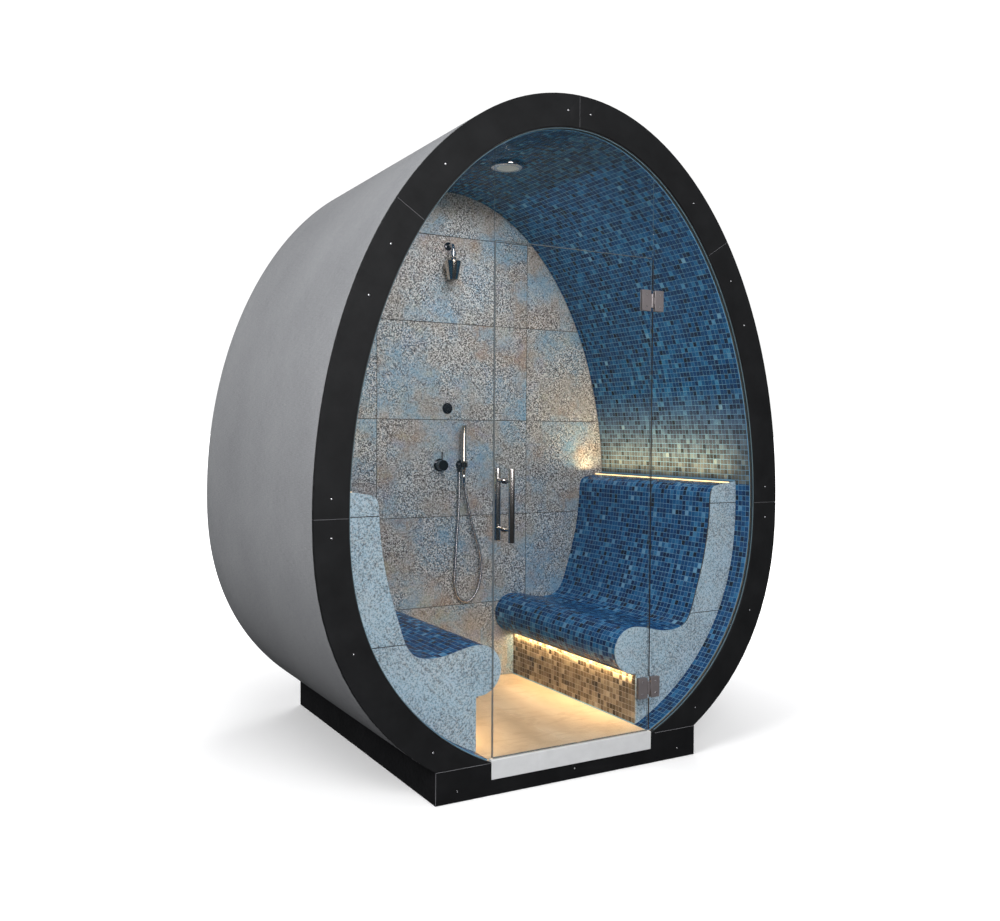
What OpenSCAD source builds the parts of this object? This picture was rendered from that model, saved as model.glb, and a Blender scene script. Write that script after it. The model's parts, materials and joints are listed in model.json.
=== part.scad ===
// Egg-shaped walk-in steam cabin on a low plinth, with two opposite benches.
// X runs across the cabin, Y from the glazed front to the rear, Z up.
// The origin is at the centre of the plinth, on the ground.

/* [Overall] */
// Depth from the front face of the ring to the rear rim
body_depth = 1620; // [1350:10:1950]
// Half the width of the egg outline at its widest line
egg_half_w = 1130; // [940:5:1360]
// Height of the widest line above the ground
egg_mid_z = 1123; // [1080:1:1160]
// Rise from the widest line to the crown
egg_rise = 1697; // [1410:1:2040]
// Drop from the widest line to the outline's lowest point, below the ground
egg_drop = 1176; // [1160:1:1420]
// Roundness of the lower half, where 2 is an ellipse
egg_lower_power = 2.3; // [2:0.02:2.6]
// Share of the wall's width that is lost at the foot of the outline
foot_slim = 0.27; // [0:0.01:0.35]
// Flats that make up the whole outline
outline_steps = 144; // [72:4:180]

/* [Plinth] */
// Height of the plinth
base_h = 132; // [110:1:160]
// Thickness of the cladding panels
base_panel_t = 10; // [6:1:16]
// Width of the steel rails
rail_w = 60; // [40:5:80]
// Wall of the steel rails
rail_wall = 4; // [3:0.5:6]
// Height of the cross rails under the tray
cross_rail_h = 50; // [30:5:55]
// Radius of the anchor bolt holes
anchor_hole_r = 7; // [5:0.5:9]
// Side of the anchor plates
anchor_plate = 110; // [80:5:130]
// Thickness of the anchor plates
anchor_plate_t = 8; // [6:1:12]

/* [Wall of the egg] */
// Width of the front ring, from the outline inwards
ring_w = 132; // [120:1:140]
// Thickness of the front ring
ring_t = 22; // [18:1:30]
// Gap between ring segments
seam_gap = 1.6; // [0.8:0.1:3]
// Height on the outline, in degrees, of the upper ring seams
upper_seam_deg = 44.2; // [35:0.2:55]
// Thickness of the rendered outer shell
shell_t = 15; // [10:1:20]
// Thickness of the mosaic-clad lining
lining_t = 12; // [8:1:20]
// Depth of the lining's visible face behind the outline
vault_inset = 143; // [141:1:160]
// Thickness of the plywood ribs
rib_t = 20; // [15:1:30]

/* [Floor] */
// Height of the finished floor above the ground
floor_z = 137; // [134:1:150]
// Thickness of the floor tiles
floor_tile_t = 10; // [8:1:15]
// Depth of the shower tray under the tiles
tray_h = 64; // [50:1:68]
// Width across the drain grate
grate_w = 100; // [80:5:140]
// Radius of the drain pipe
drain_pipe_r = 20; // [16:1:25]

/* [Benches] */
// Half the width of the aisle between the skirts
aisle_half = 406; // [340:1:490]
// Height of the seat nose above the floor
seat_h = 440; // [380:5:480]
// Radius of the rounded seat nose
nose_r = 104; // [80:1:120]
// Height of the backrest ledge above the floor
backrest_h = 1064; // [1000:1:1110]
// Depth of the ledge from the backrest to the vault
ledge_depth = 155; // [130:1:190]
// How far the backrest leans back
recline = 97; // [60:1:120]
// Set-back of the bench ends behind the front face
cheek_setback = 115; // [90:1:150]
// Thickness of tiles and mosaic
tile_t = 8; // [6:0.5:10]

/* [Glazing] */
// Distance from the centre to the glass joints
joint_x = 390; // [340:1:470]
// Height of the top of the door
door_top_z = 2192; // [2000:1:2240]
// Height of the underside of the glass
glass_low_z = 148; // [146:1:160]
// Thickness of the glass
glass_t = 8; // [6:1:10]
// Set-back of the glass behind the front face
glass_setback = 6; // [4:1:10]
// Half the gap between door and fixed glass at the hinges
hinge_gap = 5; // [5:0.5:7]
// Gap at the closing edge and over the door
closing_gap = 6; // [5:0.5:8]
// Width of the gasket between ring and glass
gasket_w = 4; // [3:0.5:5]

/* [Hinges and handle] */
// Height of the top hinge
top_hinge_z = 2012; // [1900:1:2060]
// Height of the bottom hinge
low_hinge_z = 333; // [300:1:400]
// Length of a hinge leaf from the axis
leaf_w = 57; // [48:1:65]
// Height of a hinge leaf
leaf_h = 90; // [80:1:110]
// Thickness of a hinge plate on the glass
leaf_t = 5; // [4:0.5:6]
// Radius of the hinge barrel
barrel_r = 8; // [7:0.5:8.5]
// Radius of the hinge pin
hinge_pin_r = 4; // [3:0.5:5]
// Distance of the handle from the centre
handle_x = 340; // [300:1:350]
// Height of the middle of the handle
handle_z = 1152; // [1000:1:1250]
// Length of a handle bar
handle_len = 292; // [240:1:350]
// Distance between the handle posts
handle_pitch = 192; // [150:1:220]
// Radius of a handle bar
handle_r = 12.5; // [10:0.5:15]
// Distance from the glass to a handle bar's axis
handle_reach = 52; // [42:1:60]

/* [Back wall] */
// Depth from the front face to the tiled back wall
back_depth = 1195; // [1000:5:1330]
// Thickness of the back wall board
board_t = 20; // [15:1:30]
// Height of the shower arm
shower_z = 2400; // [2200:5:2420]
// Reach of the shower arm
shower_reach = 58; // [50:1:70]
// Height of the push button
button_z = 1565; // [1450:5:1650]
// Height of the mixer and the hose outlet
mixer_z = 1272; // [1200:1:1350]
// Distance of the mixer left of the centre
mixer_x = 45; // [40:1:80]
// Distance of the hose outlet right of the centre
outlet_x = 75; // [60:1:90]
// Radius of the hand shower
handset_r = 13; // [11:0.5:15]
// Radius of the shower hose
hose_r = 7; // [6:0.5:8]

/* [Rear compartment] */
// Width of the service hatch
hatch_w = 700; // [560:10:840]
// Height of the service hatch
hatch_h = 900; // [750:10:1080]
// Height of the lower edge of the hatch
hatch_z = 500; // [420:10:560]
// Thickness of the rear cover and the hatch
cover_t = 12; // [9:1:18]
// Set-back of the rear cover from the rear rim
cover_setback = 8; // [8:1:20]

/* [Hidden] */
$fn = 48;
far = 3000;
gap = 0.5;              // clearance between neighbouring fixed pieces
play = 0.05;            // radial clearance of a turning fit
loose = 0.3;            // clearance between a moving piece and its surround

front_y = -body_depth / 2;
rear_y = body_depth / 2;
ring_back_y = front_y + ring_t;
wall_y = front_y + back_depth;
board_back_y = wall_y + tile_t + board_t;
cheek_y = front_y + cheek_setback;
cover_y = rear_y - cover_setback - cover_t;
glass_y = front_y + glass_setback;
glass_mid_y = glass_y + glass_t / 2;
glass_back_y = glass_y + glass_t;
lining_inset = vault_inset - lining_t;
glass_inset = ring_w + gap + gasket_w + gap;

// Egg outline: an ellipse above the widest line and a squarer curve below it.
egg_e = egg_lower_power;
function egg_raw(t) = [egg_half_w * cos(t),
    sin(t) >= 0 ? egg_rise * sin(t) : -egg_drop * pow(-sin(t), 2 / egg_e)];
function egg_slope(t) = [2 * cos(t) / egg_half_w,
    sin(t) >= 0 ? 2 * sin(t) / egg_rise : -egg_e * pow(-sin(t), 2 - 2 / egg_e) / egg_drop];
function egg_normal(t) = egg_slope(t) / norm(egg_slope(t));
// The wall narrows towards the foot of the outline.
function wall_share(t) = sin(t) >= 0 ? 1 : 1 - foot_slim * pow(-sin(t), 5);
function egg_point(t, inset) = [0, egg_mid_z] + egg_raw(t) - inset * wall_share(t) * egg_normal(t);
function egg_arc(inset, t0, t1, n) = [for (i = [0:n]) egg_point(t0 + (t1 - t0) * i / n, inset)];
function egg_half_at(z) = egg_half_w * sqrt(1 - (z < egg_mid_z
    ? pow((egg_mid_z - z) / egg_drop, egg_e)
    : pow((z - egg_mid_z) / egg_rise, 2)));

base_half_w = egg_half_at(base_h);
frame_half_w = base_half_w - base_panel_t;
frame_half_d = body_depth / 2 - base_panel_t;
tray_half_w = aisle_half - 1;
tray_top_z = floor_z - floor_tile_t;
tray_low_z = tray_top_z - tray_h;
tray_y = front_y + base_panel_t + rail_w + 1;
ceiling_y = front_y + back_depth * 0.49;
ceiling_bezel_r = 78;
ceiling_body_r = 55;
rib_y = [ring_back_y, ceiling_y - ceiling_bezel_r - rib_t, board_back_y, cover_y - rib_t - gap];

// A flat plate that stands in the XZ plane between two depths.
module slab(y0, y1) { translate([0, y1, 0]) rotate([90, 0, 0]) linear_extrude(y1 - y0) children(); }
// A box between two corners.
module block(a, b) { translate(a) cube(b - a); }
// A rod along Y between two depths.
module rod_y(r, x, z, y0, y1) { translate([x, y1, z]) rotate([90, 0, 0]) cylinder(r = r, h = y1 - y0); }
// A rod along Z between two heights.
module rod_z(r, x, y, z0, z1) { translate([x, y, z0]) cylinder(r = r, h = z1 - z0); }
module egg(inset, y0, y1) { slab(y0, y1) polygon(egg_arc(inset, 0, 360 - 360 / outline_steps, outline_steps - 1)); }
module above(z) { block([-far, -far, z], [far, far, far]); }
module sides() { for (s = [-1, 1]) mirror([s < 0 ? 1 : 0, 0, 0]) children(); }
module left_side() { mirror([1, 0, 0]) children(); }
// A shell that follows the outline between two insets and two depths, down to a height.
module egg_band(outer, inner, y0, y1, low_z) {
    difference() {
        intersection() { egg(outer, y0, y1); above(low_z); }
        egg(inner, y0 - 1, y1 + 1);
    }
}

// ---------------------------------------------------------------- plinth
module rail_x(y, half) {
    difference() {
        block([-half, y - rail_w / 2, 0], [half, y + rail_w / 2, base_h]);
        block([-half - 1, y - rail_w / 2 + rail_wall, rail_wall], [half + 1, y + rail_w / 2 - rail_wall, base_h - rail_wall]);
    }
}
module rail_y(x) {
    difference() {
        block([x - rail_w / 2, -frame_half_d, 0], [x + rail_w / 2, frame_half_d, base_h]);
        block([x - rail_w / 2 + rail_wall, -frame_half_d - 1, rail_wall],
              [x + rail_w / 2 - rail_wall, frame_half_d + 1, base_h - rail_wall]);
    }
}
anchor_x = frame_half_w - rail_w - anchor_plate / 2;
anchor_y = frame_half_d - rail_w - anchor_plate / 2;
module base_frame() {
    color([0.13, 0.13, 0.14]) difference() {
        union() {
            for (s = [-1, 1]) {
                rail_y(s * (frame_half_w - rail_w / 2));
                rail_x(s * (frame_half_d - rail_w / 2), frame_half_w - rail_w);
            }
            block([rail_w - frame_half_w, -rail_w / 2, 0], [frame_half_w - rail_w, rail_w / 2, cross_rail_h]);
            for (sx = [-1, 1], sy = [-1, 1]) translate([sx * anchor_x, sy * anchor_y, anchor_plate_t / 2])
                cube([anchor_plate, anchor_plate, anchor_plate_t], center = true);
        }
        for (sx = [-1, 1], sy = [-1, 1]) rod_z(anchor_hole_r, sx * anchor_x, sy * anchor_y, -1, anchor_plate_t + 1);
        rod_y(drain_pipe_r + 2, drain_x, drain_pipe_z, drain_y, far);
        block([-tray_half_w - gap, ring_back_y - gap, tray_top_z - gap], [tray_half_w + gap, tray_y, base_h + 1]);
    }
}
base_screw_x = [-(base_half_w - 96), 0, base_half_w - 96];
base_screw_z = 43;
screw_head_r = 5;
screw_head_h = 3.5;
screw_shank_r = 2.5;
module screw(p) {
    rod_y(screw_head_r, p[0], p[1], front_y + 0.3, front_y + screw_head_h);
    rod_y(screw_shank_r, p[0], p[1], front_y + screw_head_h, front_y + base_panel_t - 1);
}
module screw_hole(p) {
    rod_y(screw_head_r + 0.2, p[0], p[1], front_y - 1, front_y + screw_head_h);
    rod_y(screw_shank_r + 0.1, p[0], p[1], front_y, front_y + base_panel_t - 0.5);
}
// Ring screws sit on the middle of the ring, in pairs at the seams and singly between them.
ring_screw_deg = [-52.5, -23.3, -2.3, 2.5, 29.6, 37.8, 54.3, 86.9];
ring_screws = [for (t = ring_screw_deg, s = [-1, 1]) let (p = egg_point(t, ring_w / 2)) [s * p[0], p[1]]];
base_screws = [for (x = base_screw_x) [x, base_screw_z]];
module frame_screws() {
    color([0.2, 0.2, 0.21]) for (p = concat(ring_screws, base_screws)) screw(p);
}
module base_front_panel() {
    color([0.11, 0.11, 0.12]) difference() {
        block([-base_half_w, front_y, 2], [base_half_w, front_y + base_panel_t, base_h]);
        for (p = base_screws) screw_hole(p);
    }
}
module base_side_panels() {
    color([0.11, 0.11, 0.12]) sides()
        block([frame_half_w, front_y + base_panel_t, 2], [base_half_w, rear_y, base_h]);
}
module base_rear_panel() {
    color([0.11, 0.11, 0.12]) difference() {
        block([-frame_half_w, frame_half_d, 2], [frame_half_w, rear_y, base_h]);
        rod_y(drain_pipe_r - 1, drain_x, drain_pipe_z, frame_half_d - 1, rear_y + 1);
    }
}

// ---------------------------------------------------------------- floor
drain_x = -250;
drain_y = wall_y - 150;
drain_pipe_z = 34;
drain_cup_r = grate_w / 2 - 8;
drain_out = 34;          // how far the drain pipe stands out behind the plinth
module drain_hole(clear) {
    translate([drain_x - grate_w / 2 - clear, drain_y - grate_w / 2 - clear, tray_top_z])
        cube([grate_w + 2 * clear, grate_w + 2 * clear, floor_tile_t + 1]);
}
module floor_tray() {
    color([0.75, 0.75, 0.73]) difference() {
        block([-tray_half_w, tray_y, tray_low_z], [tray_half_w, wall_y + tile_t, tray_top_z]);
        rod_z(drain_cup_r + gap, drain_x, drain_y, tray_low_z - 1, tray_top_z + 1);
    }
}
module floor_tiles() {
    color([0.83, 0.72, 0.55]) difference() {
        block([-tray_half_w, ring_back_y, tray_top_z], [tray_half_w, wall_y, floor_z]);
        drain_hole(0);
    }
}
module drain_body() {
    color([0.6, 0.6, 0.62]) difference() {
        union() {
            drain_rim();
            rod_z(drain_cup_r, drain_x, drain_y, drain_pipe_z - drain_pipe_r - 2, tray_top_z);
            rod_y(drain_pipe_r - 2, drain_x, drain_pipe_z, drain_y, rear_y + 1);
            rod_y(drain_pipe_r, drain_x, drain_pipe_z, rear_y, rear_y + drain_out);
        }
        rod_z(drain_cup_r - 3, drain_x, drain_y, drain_pipe_z - drain_pipe_r + 2, tray_top_z + floor_tile_t);
        rod_y(drain_pipe_r - 4.5, drain_x, drain_pipe_z, drain_y, rear_y + drain_out + 1);
    }
}
module drain_rim() {
    difference() {
        translate([drain_x - grate_w / 2, drain_y - grate_w / 2, tray_top_z]) cube([grate_w, grate_w, floor_tile_t]);
        translate([drain_x - grate_w / 2 + 2, drain_y - grate_w / 2 + 2, tray_top_z + 5])
            cube([grate_w - 4, grate_w - 4, floor_tile_t]);
    }
}
grate_slots = 6;
module drain_grate() {
    w = grate_w - 4 - 2 * loose;
    color([0.7, 0.7, 0.72]) difference() {
        translate([drain_x - w / 2, drain_y - w / 2, tray_top_z + 5]) cube([w, w, 4]);
        for (i = [0:grate_slots - 1]) translate([drain_x - w / 3, drain_y + (i - (grate_slots - 1) / 2) * w / 8 - 3, tray_top_z])
            cube([w * 2 / 3, 6, 20]);
    }
}

// ---------------------------------------------------------------- ring
seam_half_deg = seam_gap / 2 / egg_rise * 180 / PI;
ring_steps = 24;
module ring_segment(t0, t1) {
    a = t0 + seam_half_deg;
    b = t1 - seam_half_deg;
    color([0.1, 0.1, 0.11]) difference() {
        slab(front_y, ring_back_y)
            polygon(concat(egg_arc(0, a, b, ring_steps), egg_arc(ring_w, b, a, ring_steps)));
        block([-far, -far, -far], [far, far, base_h + gap]);
        block([-sill_half_w - gap, front_y - 1, 0], [sill_half_w + gap, ring_back_y + 1, sill_top_z + gap]);
        for (p = ring_screws) screw_hole(p);
    }
}
module ring_upper_right() { ring_segment(upper_seam_deg, 90); }
module ring_middle_right() { ring_segment(0, upper_seam_deg); }
module ring_lower_right() { ring_segment(-90, 0); }
module ring_upper_left() { ring_segment(90, 180 - upper_seam_deg); }
module ring_middle_left() { ring_segment(180 - upper_seam_deg, 180); }
module ring_lower_left() { ring_segment(180, 270); }

// ---------------------------------------------------------------- shell
// The room that the floor and the skirts take out of the egg's wall.
module floor_pocket() {
    block([-tray_half_w - gap, ring_back_y - 1, 0], [tray_half_w + gap, wall_y + tile_t + gap, floor_z + gap]);
    block([-skirt_x - gap, cheek_y - gap, 0], [skirt_x + gap, wall_y + gap, floor_z + 60]);
}
module outer_shell() {
    color([0.55, 0.56, 0.57]) egg_band(0, shell_t, ring_back_y, rear_y, base_h);
}
module shell_ribs() {
    color([0.76, 0.62, 0.42]) difference() {
        for (y = rib_y) egg_band(shell_t + gap, lining_inset - gap, y, y + rib_t, base_h);
        floor_pocket();
    }
}
module insulation_core() {
    color([0.93, 0.9, 0.75]) difference() {
        for (i = [0, 1]) egg_band(shell_t + 1, lining_inset - 1, rib_y[i] + rib_t, rib_y[i + 1], base_h);
        floor_pocket();
        rod_z(ceiling_body_r + 2, 0, ceiling_y, egg_mid_z, crown_z - shell_t - 1);
    }
}
module vault_lining() {
    color([0.16, 0.36, 0.56]) difference() {
        egg_band(lining_inset, vault_inset, ring_back_y, wall_y + tile_t, base_h);
        floor_pocket();
        rod_z(ceiling_body_r + 1, 0, ceiling_y, egg_mid_z, crown_z);
    }
}

// ---------------------------------------------------------------- back wall and rear
steam_x = -330;
steam_z = 250;
steam_pipe_r = 14;
module wall_holes() {
    rod_y(9 + 1, 0, shower_z, wall_y - 1, board_back_y + 1);
    rod_y(button_r + 1, 0, button_z, wall_y - 1, board_back_y + 1);
    rod_y(mixer_stub_r + 1, -mixer_x, mixer_z, wall_y - 1, board_back_y + 1);
    rod_y(outlet_stub_r + 1, outlet_x, mixer_z, wall_y - 1, board_back_y + 1);
    rod_y(steam_pipe_r + 1, steam_x, steam_z, wall_y - 1, board_back_y + 1);
}
module back_wall_tiles() {
    color([0.62, 0.62, 0.6]) difference() {
        intersection() { egg(vault_inset + gap, wall_y, wall_y + tile_t); above(floor_z); }
        wall_holes();
    }
}
module back_wall_board() {
    color([0.55, 0.66, 0.55]) difference() {
        intersection() { egg(lining_inset, wall_y + tile_t, board_back_y); above(base_h); }
        wall_holes();
    }
}
module hatch_outline(clear) {
    block([-hatch_w / 2 + clear, cover_y - 1, hatch_z + clear], [hatch_w / 2 - clear, rear_y, hatch_z + hatch_h - clear]);
}
hatch_clear = 3;
hatch_pin_r = 2;
hatch_barrel_r = 5;
hatch_hinge_x = -hatch_w / 2;
hatch_hinge_y = cover_y + cover_t + hatch_barrel_r + 1;
hatch_hinge_z = [hatch_z + hatch_h / 6, hatch_z + hatch_h * 5 / 6];
knuckle_h = 30;
// One hinge half: a leaf on the panel's face and a knuckle round the pin.
module hatch_knuckle(z, side) {
    difference() {
        union() {
            rod_z(hatch_barrel_r, hatch_hinge_x, hatch_hinge_y, z, z + knuckle_h);
            block([hatch_hinge_x + (side > 0 ? hatch_clear + 1 : -40), cover_y + cover_t, z],
                  [hatch_hinge_x + (side > 0 ? 40 : -2), cover_y + cover_t + 3, z + knuckle_h]);
            block([hatch_hinge_x + (side > 0 ? 3 : -8), cover_y + cover_t + 2, z],
                  [hatch_hinge_x + (side > 0 ? 8 : -3), hatch_hinge_y + 2, z + knuckle_h]);
        }
        rod_z(hatch_pin_r + play, hatch_hinge_x, hatch_hinge_y, z - 1, z + knuckle_h + 1);
    }
}
inlet_x = -480;
inlet_z = 420;
gland_z = 520;
inlet_r = 10.5;
gland_r = 12;
module rear_cover() {
    color([0.3, 0.3, 0.31]) {
        difference() {
            intersection() { egg(shell_t + gap, cover_y, cover_y + cover_t); above(base_h + gap); }
            hatch_outline(0);
            rod_y(inlet_r + gap, inlet_x, inlet_z, cover_y - 1, rear_y);
            rod_y(gland_r + gap, inlet_x, gland_z, cover_y - 1, rear_y);
        }
        for (z = hatch_hinge_z) hatch_knuckle(z - knuckle_h - 1, -1);
    }
}
module service_hatch() {
    color([0.34, 0.34, 0.35]) {
        difference() {
            block([-hatch_w / 2 + hatch_clear, cover_y, hatch_z + hatch_clear],
                  [hatch_w / 2 - hatch_clear, cover_y + cover_t, hatch_z + hatch_h - hatch_clear]);
            for (i = [0:7]) translate([0, cover_y, hatch_z + 120 + i * 22]) cube([300, 60, 8], center = true);
        }
        for (z = hatch_hinge_z) hatch_knuckle(z, 1);
        rod_y(14, hatch_w / 2 - 50, hatch_z + hatch_h / 2, cover_y + cover_t, cover_y + cover_t + 16);
    }
}
module hatch_hinge_pins() {
    color([0.7, 0.7, 0.72]) for (z = hatch_hinge_z)
        rod_z(hatch_pin_r, hatch_hinge_x, hatch_hinge_y, z - knuckle_h - 3, z + knuckle_h + 2);
}

// ---------------------------------------------------------------- benches
function bez(a, b, c, d, n) = [for (i = [0:n]) let (u = i / n, v = 1 - u)
    v * v * v * a + 3 * u * v * v * b + 3 * u * u * v * c + u * u * u * d];
seat_z = floor_z + seat_h;
ledge_z = floor_z + backrest_h;
nose_x = aisle_half - 12;
nose_z = seat_z - nose_r;
back_x = egg_half_at(ledge_z) - vault_inset - ledge_depth;
foot_x = back_x - recline;
seat_run = foot_x - nose_x;
dip_z = seat_z - 32;
ledge_slope = 0.16;
// Bench profile from under the nose, round it, along the seat, up the backrest and out on the ledge.
nose_arc = [for (a = [270:-12:90]) [nose_x + nose_r * cos(a), nose_z + nose_r * sin(a)]];
seat_arc = bez([nose_x, seat_z], [nose_x + seat_run * 0.22, seat_z], [nose_x + seat_run * 0.37, dip_z - 2],
               [nose_x + seat_run * 0.6, dip_z], 8);
foot_arc = bez([nose_x + seat_run * 0.6, dip_z], [nose_x + seat_run * 0.87, dip_z],
               [foot_x - seat_run * 0.07, dip_z + 40], [foot_x, dip_z + 110], 8);
back_arc = bez([foot_x, dip_z + 110], [foot_x + recline * 0.31, dip_z + 215],
               [back_x - recline * 0.07, dip_z + 355], [back_x, ledge_z - 66], 8);
lip_arc = bez([back_x, ledge_z - 66], [back_x + 1, ledge_z - 20], [back_x + 13, ledge_z - 5], [back_x + 48, ledge_z], 6);
ledge_end = [back_x + 48 + 400, ledge_z + 400 * ledge_slope];
function tail(p) = [for (i = [1:len(p) - 1]) p[i]];
bench_path = concat([[aisle_half, nose_z - nose_r]], nose_arc, tail(seat_arc), tail(foot_arc), tail(back_arc),
                    tail(lip_arc), [ledge_end]);
function side_of(p, i) = let (d = p[min(i + 1, len(p) - 1)] - p[max(i - 1, 0)]) [d[1], -d[0]] / norm(d);
// Right-hand parallel of a path, which is inside the bench.
function parallel(p, d) = [for (i = [0:len(p) - 1]) p[i] + d * side_of(p, i)];
function backwards(p) = [for (i = [len(p) - 1:-1:0]) p[i]];
core_path = parallel(bench_path, tile_t);
glued_path = parallel(bench_path, tile_t + 0.1);
skirt_x = aisle_half + tile_t;
module bench_volume(y0, y1) { intersection() { egg(vault_inset + gap, y0, y1); above(floor_z); } }
light_x = back_x + 116;
light_w = 16;
light_z = ledge_z - 5;
module light_slot() {
    block([light_x - light_w / 2 - gap, cheek_y, light_z - gap], [light_x + light_w / 2 + gap, wall_y + 1, light_z + 60]);
}
module bench_core() {
    color([0.5, 0.62, 0.7]) intersection() {
        bench_volume(cheek_y + tile_t, wall_y - gap);
        difference() {
            slab(cheek_y + tile_t, wall_y - gap) polygon(concat(
                [[skirt_x, floor_z], [skirt_x, glued_path[0][1]]], tail(glued_path),
                [[ledge_end[0], floor_z]]));
            light_slot();
        }
    }
}
module bench_mosaic() {
    color([0.15, 0.33, 0.56]) intersection() {
        bench_volume(cheek_y + tile_t, wall_y - gap);
        difference() {
            slab(cheek_y + tile_t, wall_y - gap) polygon(concat(bench_path, backwards(core_path)));
            light_slot();
        }
    }
}
module cheek_tiles() {
    color([0.62, 0.68, 0.72]) intersection() {
        bench_volume(cheek_y, cheek_y + tile_t);
        slab(cheek_y, cheek_y + tile_t) polygon(concat([[aisle_half, floor_z]], bench_path, [[ledge_end[0], floor_z]]));
    }
}
module bench_core_right() { bench_core(); }
module bench_core_left() { left_side() bench_core(); }
module bench_mosaic_right() { bench_mosaic(); }
module bench_mosaic_left() { left_side() bench_mosaic(); }
module cheek_tiles_right() { cheek_tiles(); }
module cheek_tiles_left() { left_side() cheek_tiles(); }
module skirt_mosaic() {
    color([0.35, 0.33, 0.3]) sides()
        block([aisle_half, cheek_y + tile_t, floor_z], [skirt_x, wall_y - gap, nose_z - nose_r - gap]);
}
module backrest_lights() {
    color([1, 0.92, 0.72]) sides()
        block([light_x - light_w / 2, cheek_y + tile_t + gap, light_z],
              [light_x + light_w / 2, wall_y - gap, light_z + 18]);
}
module seat_lights() {
    color([1, 0.92, 0.72]) sides()
        block([aisle_half - 15, cheek_y + tile_t + gap, nose_z - nose_r - 9],
              [aisle_half - gap, wall_y - gap, nose_z - nose_r - gap]);
}

// ---------------------------------------------------------------- glazing
hinge_z = [low_hinge_z, top_hinge_z];
hinge_notch_h = 62;
hinge_notch_w = 26;
module glass_part(x0, x1, z0, z1) {
    color([0.8, 0.9, 0.92, 0.35]) difference() {
        intersection() {
            egg(glass_inset, glass_y, glass_back_y);
            block([x0, glass_y - 1, z0], [x1, glass_back_y + 1, z1]);
        }
        for (z = hinge_z) block([joint_x - hinge_gap - hinge_notch_w, glass_y - 1, z - hinge_notch_h / 2],
                                [joint_x + hinge_gap + hinge_notch_w, glass_back_y + 1, z + hinge_notch_h / 2]);
        for (z = handle_post_z) rod_y(handle_bolt_r + 0.5, -handle_x, z, glass_y - 1, glass_back_y + 1);
    }
}
module side_glass_left() { glass_part(-far, -joint_x - closing_gap / 2, glass_low_z, far); }
module side_glass_right() { glass_part(joint_x + hinge_gap, far, glass_low_z, far); }
module door_glass() { glass_part(-joint_x + closing_gap / 2, joint_x - hinge_gap, glass_low_z, door_top_z); }
module transom_glass() {
    glass_part(-joint_x - closing_gap / 2 + 2, joint_x + hinge_gap - 2, door_top_z + closing_gap, far);
}
module glazing_gasket() {
    color([0.06, 0.06, 0.07]) {
        difference() {
            egg_band(ring_w + 2 * gap, ring_w + gap + gasket_w, front_y + 3, ring_back_y - gap, base_h + gap);
            block([-sill_half_w - gap, front_y, 0], [sill_half_w + gap, ring_back_y, sill_top_z + gap]);
        }
        difference() {
            block([joint_x + hinge_gap - 2.5, glass_y + 0.5, glass_low_z], [joint_x + hinge_gap, glass_back_y - 0.5, door_top_z]);
            for (z = hinge_z) block([joint_x - 20, front_y - 1, z - leaf_h / 2 - 2], [joint_x + 20, ring_back_y, z + leaf_h / 2 + 2]);
        }
    }
}
module door_seals() {
    color([0.75, 0.8, 0.8, 0.6]) {
        x0 = -joint_x + closing_gap / 2;
        block([x0 - closing_gap + 1, glass_y + 1, glass_low_z], [x0, glass_back_y - 1, door_top_z]);
        block([x0, glass_y + 1, door_top_z], [joint_x - hinge_gap, glass_back_y - 1, door_top_z + closing_gap / 2]);
        block([x0, glass_y + 1, glass_low_z - 4], [joint_x - hinge_gap, glass_back_y - 1, glass_low_z]);
    }
}
plate_clear = 11;        // distance of a hinge plate's near edge from the axis
mid_knuckle_h = 28;
end_knuckle_h = 15;
module leaf_plates(z) {
    for (y = [glass_y - leaf_t, glass_back_y]) block([plate_clear, y, z - leaf_h / 2], [leaf_w, y + leaf_t, z + leaf_h / 2]);
    block([plate_clear, glass_y, z - hinge_notch_h / 2 + 1], [hinge_gap + hinge_notch_w - 1, glass_back_y, z + hinge_notch_h / 2 - 1]);
}
module knuckle(z0, z1) {
    difference() {
        union() {
            rod_z(barrel_r, 0, glass_mid_y, z0, z1);
            block([0, glass_mid_y - glass_t / 2, z0], [plate_clear + 1, glass_mid_y + glass_t / 2, z1]);
        }
        rod_z(hinge_pin_r + play, 0, glass_mid_y, z0 - 1, z1 + 1);
    }
}
module hinge_fixed_leaves() {
    color([0.66, 0.67, 0.69]) translate([joint_x, 0, 0]) for (z = hinge_z) {
        leaf_plates(z);
        knuckle(z - mid_knuckle_h / 2, z + mid_knuckle_h / 2);
    }
}
module hinge_door_leaves() {
    color([0.66, 0.67, 0.69]) translate([joint_x, 0, 0]) mirror([1, 0, 0]) for (z = hinge_z) {
        leaf_plates(z);
        for (s = [-1, 1]) {
            near = z + s * (mid_knuckle_h / 2 + gap);
            end = near + s * end_knuckle_h;
            knuckle(min(near, end), max(near, end));
        }
    }
}
module hinge_pins() {
    color([0.8, 0.8, 0.82]) for (z = hinge_z)
        rod_z(hinge_pin_r, joint_x, glass_mid_y, z - hinge_notch_h / 2 + 1, z + hinge_notch_h / 2 - 1);
}
handle_post_z = [handle_z - handle_pitch / 2, handle_z + handle_pitch / 2];
handle_post_r = 8;
handle_bolt_r = 5;
module door_handle() {
    color([0.68, 0.69, 0.71]) {
        for (y = [glass_y - handle_reach, glass_back_y + handle_reach])
            rod_z(handle_r, -handle_x, y, handle_z - handle_len / 2, handle_z + handle_len / 2);
        for (z = handle_post_z) {
            rod_y(handle_post_r, -handle_x, z, glass_y - handle_reach, glass_y);
            rod_y(handle_post_r, -handle_x, z, glass_back_y, glass_back_y + handle_reach);
            rod_y(handle_bolt_r, -handle_x, z, glass_y - 1, glass_back_y + 1);
        }
    }
}
sill_half_w = joint_x + 8;
sill_top_z = glass_low_z - 6;
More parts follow.
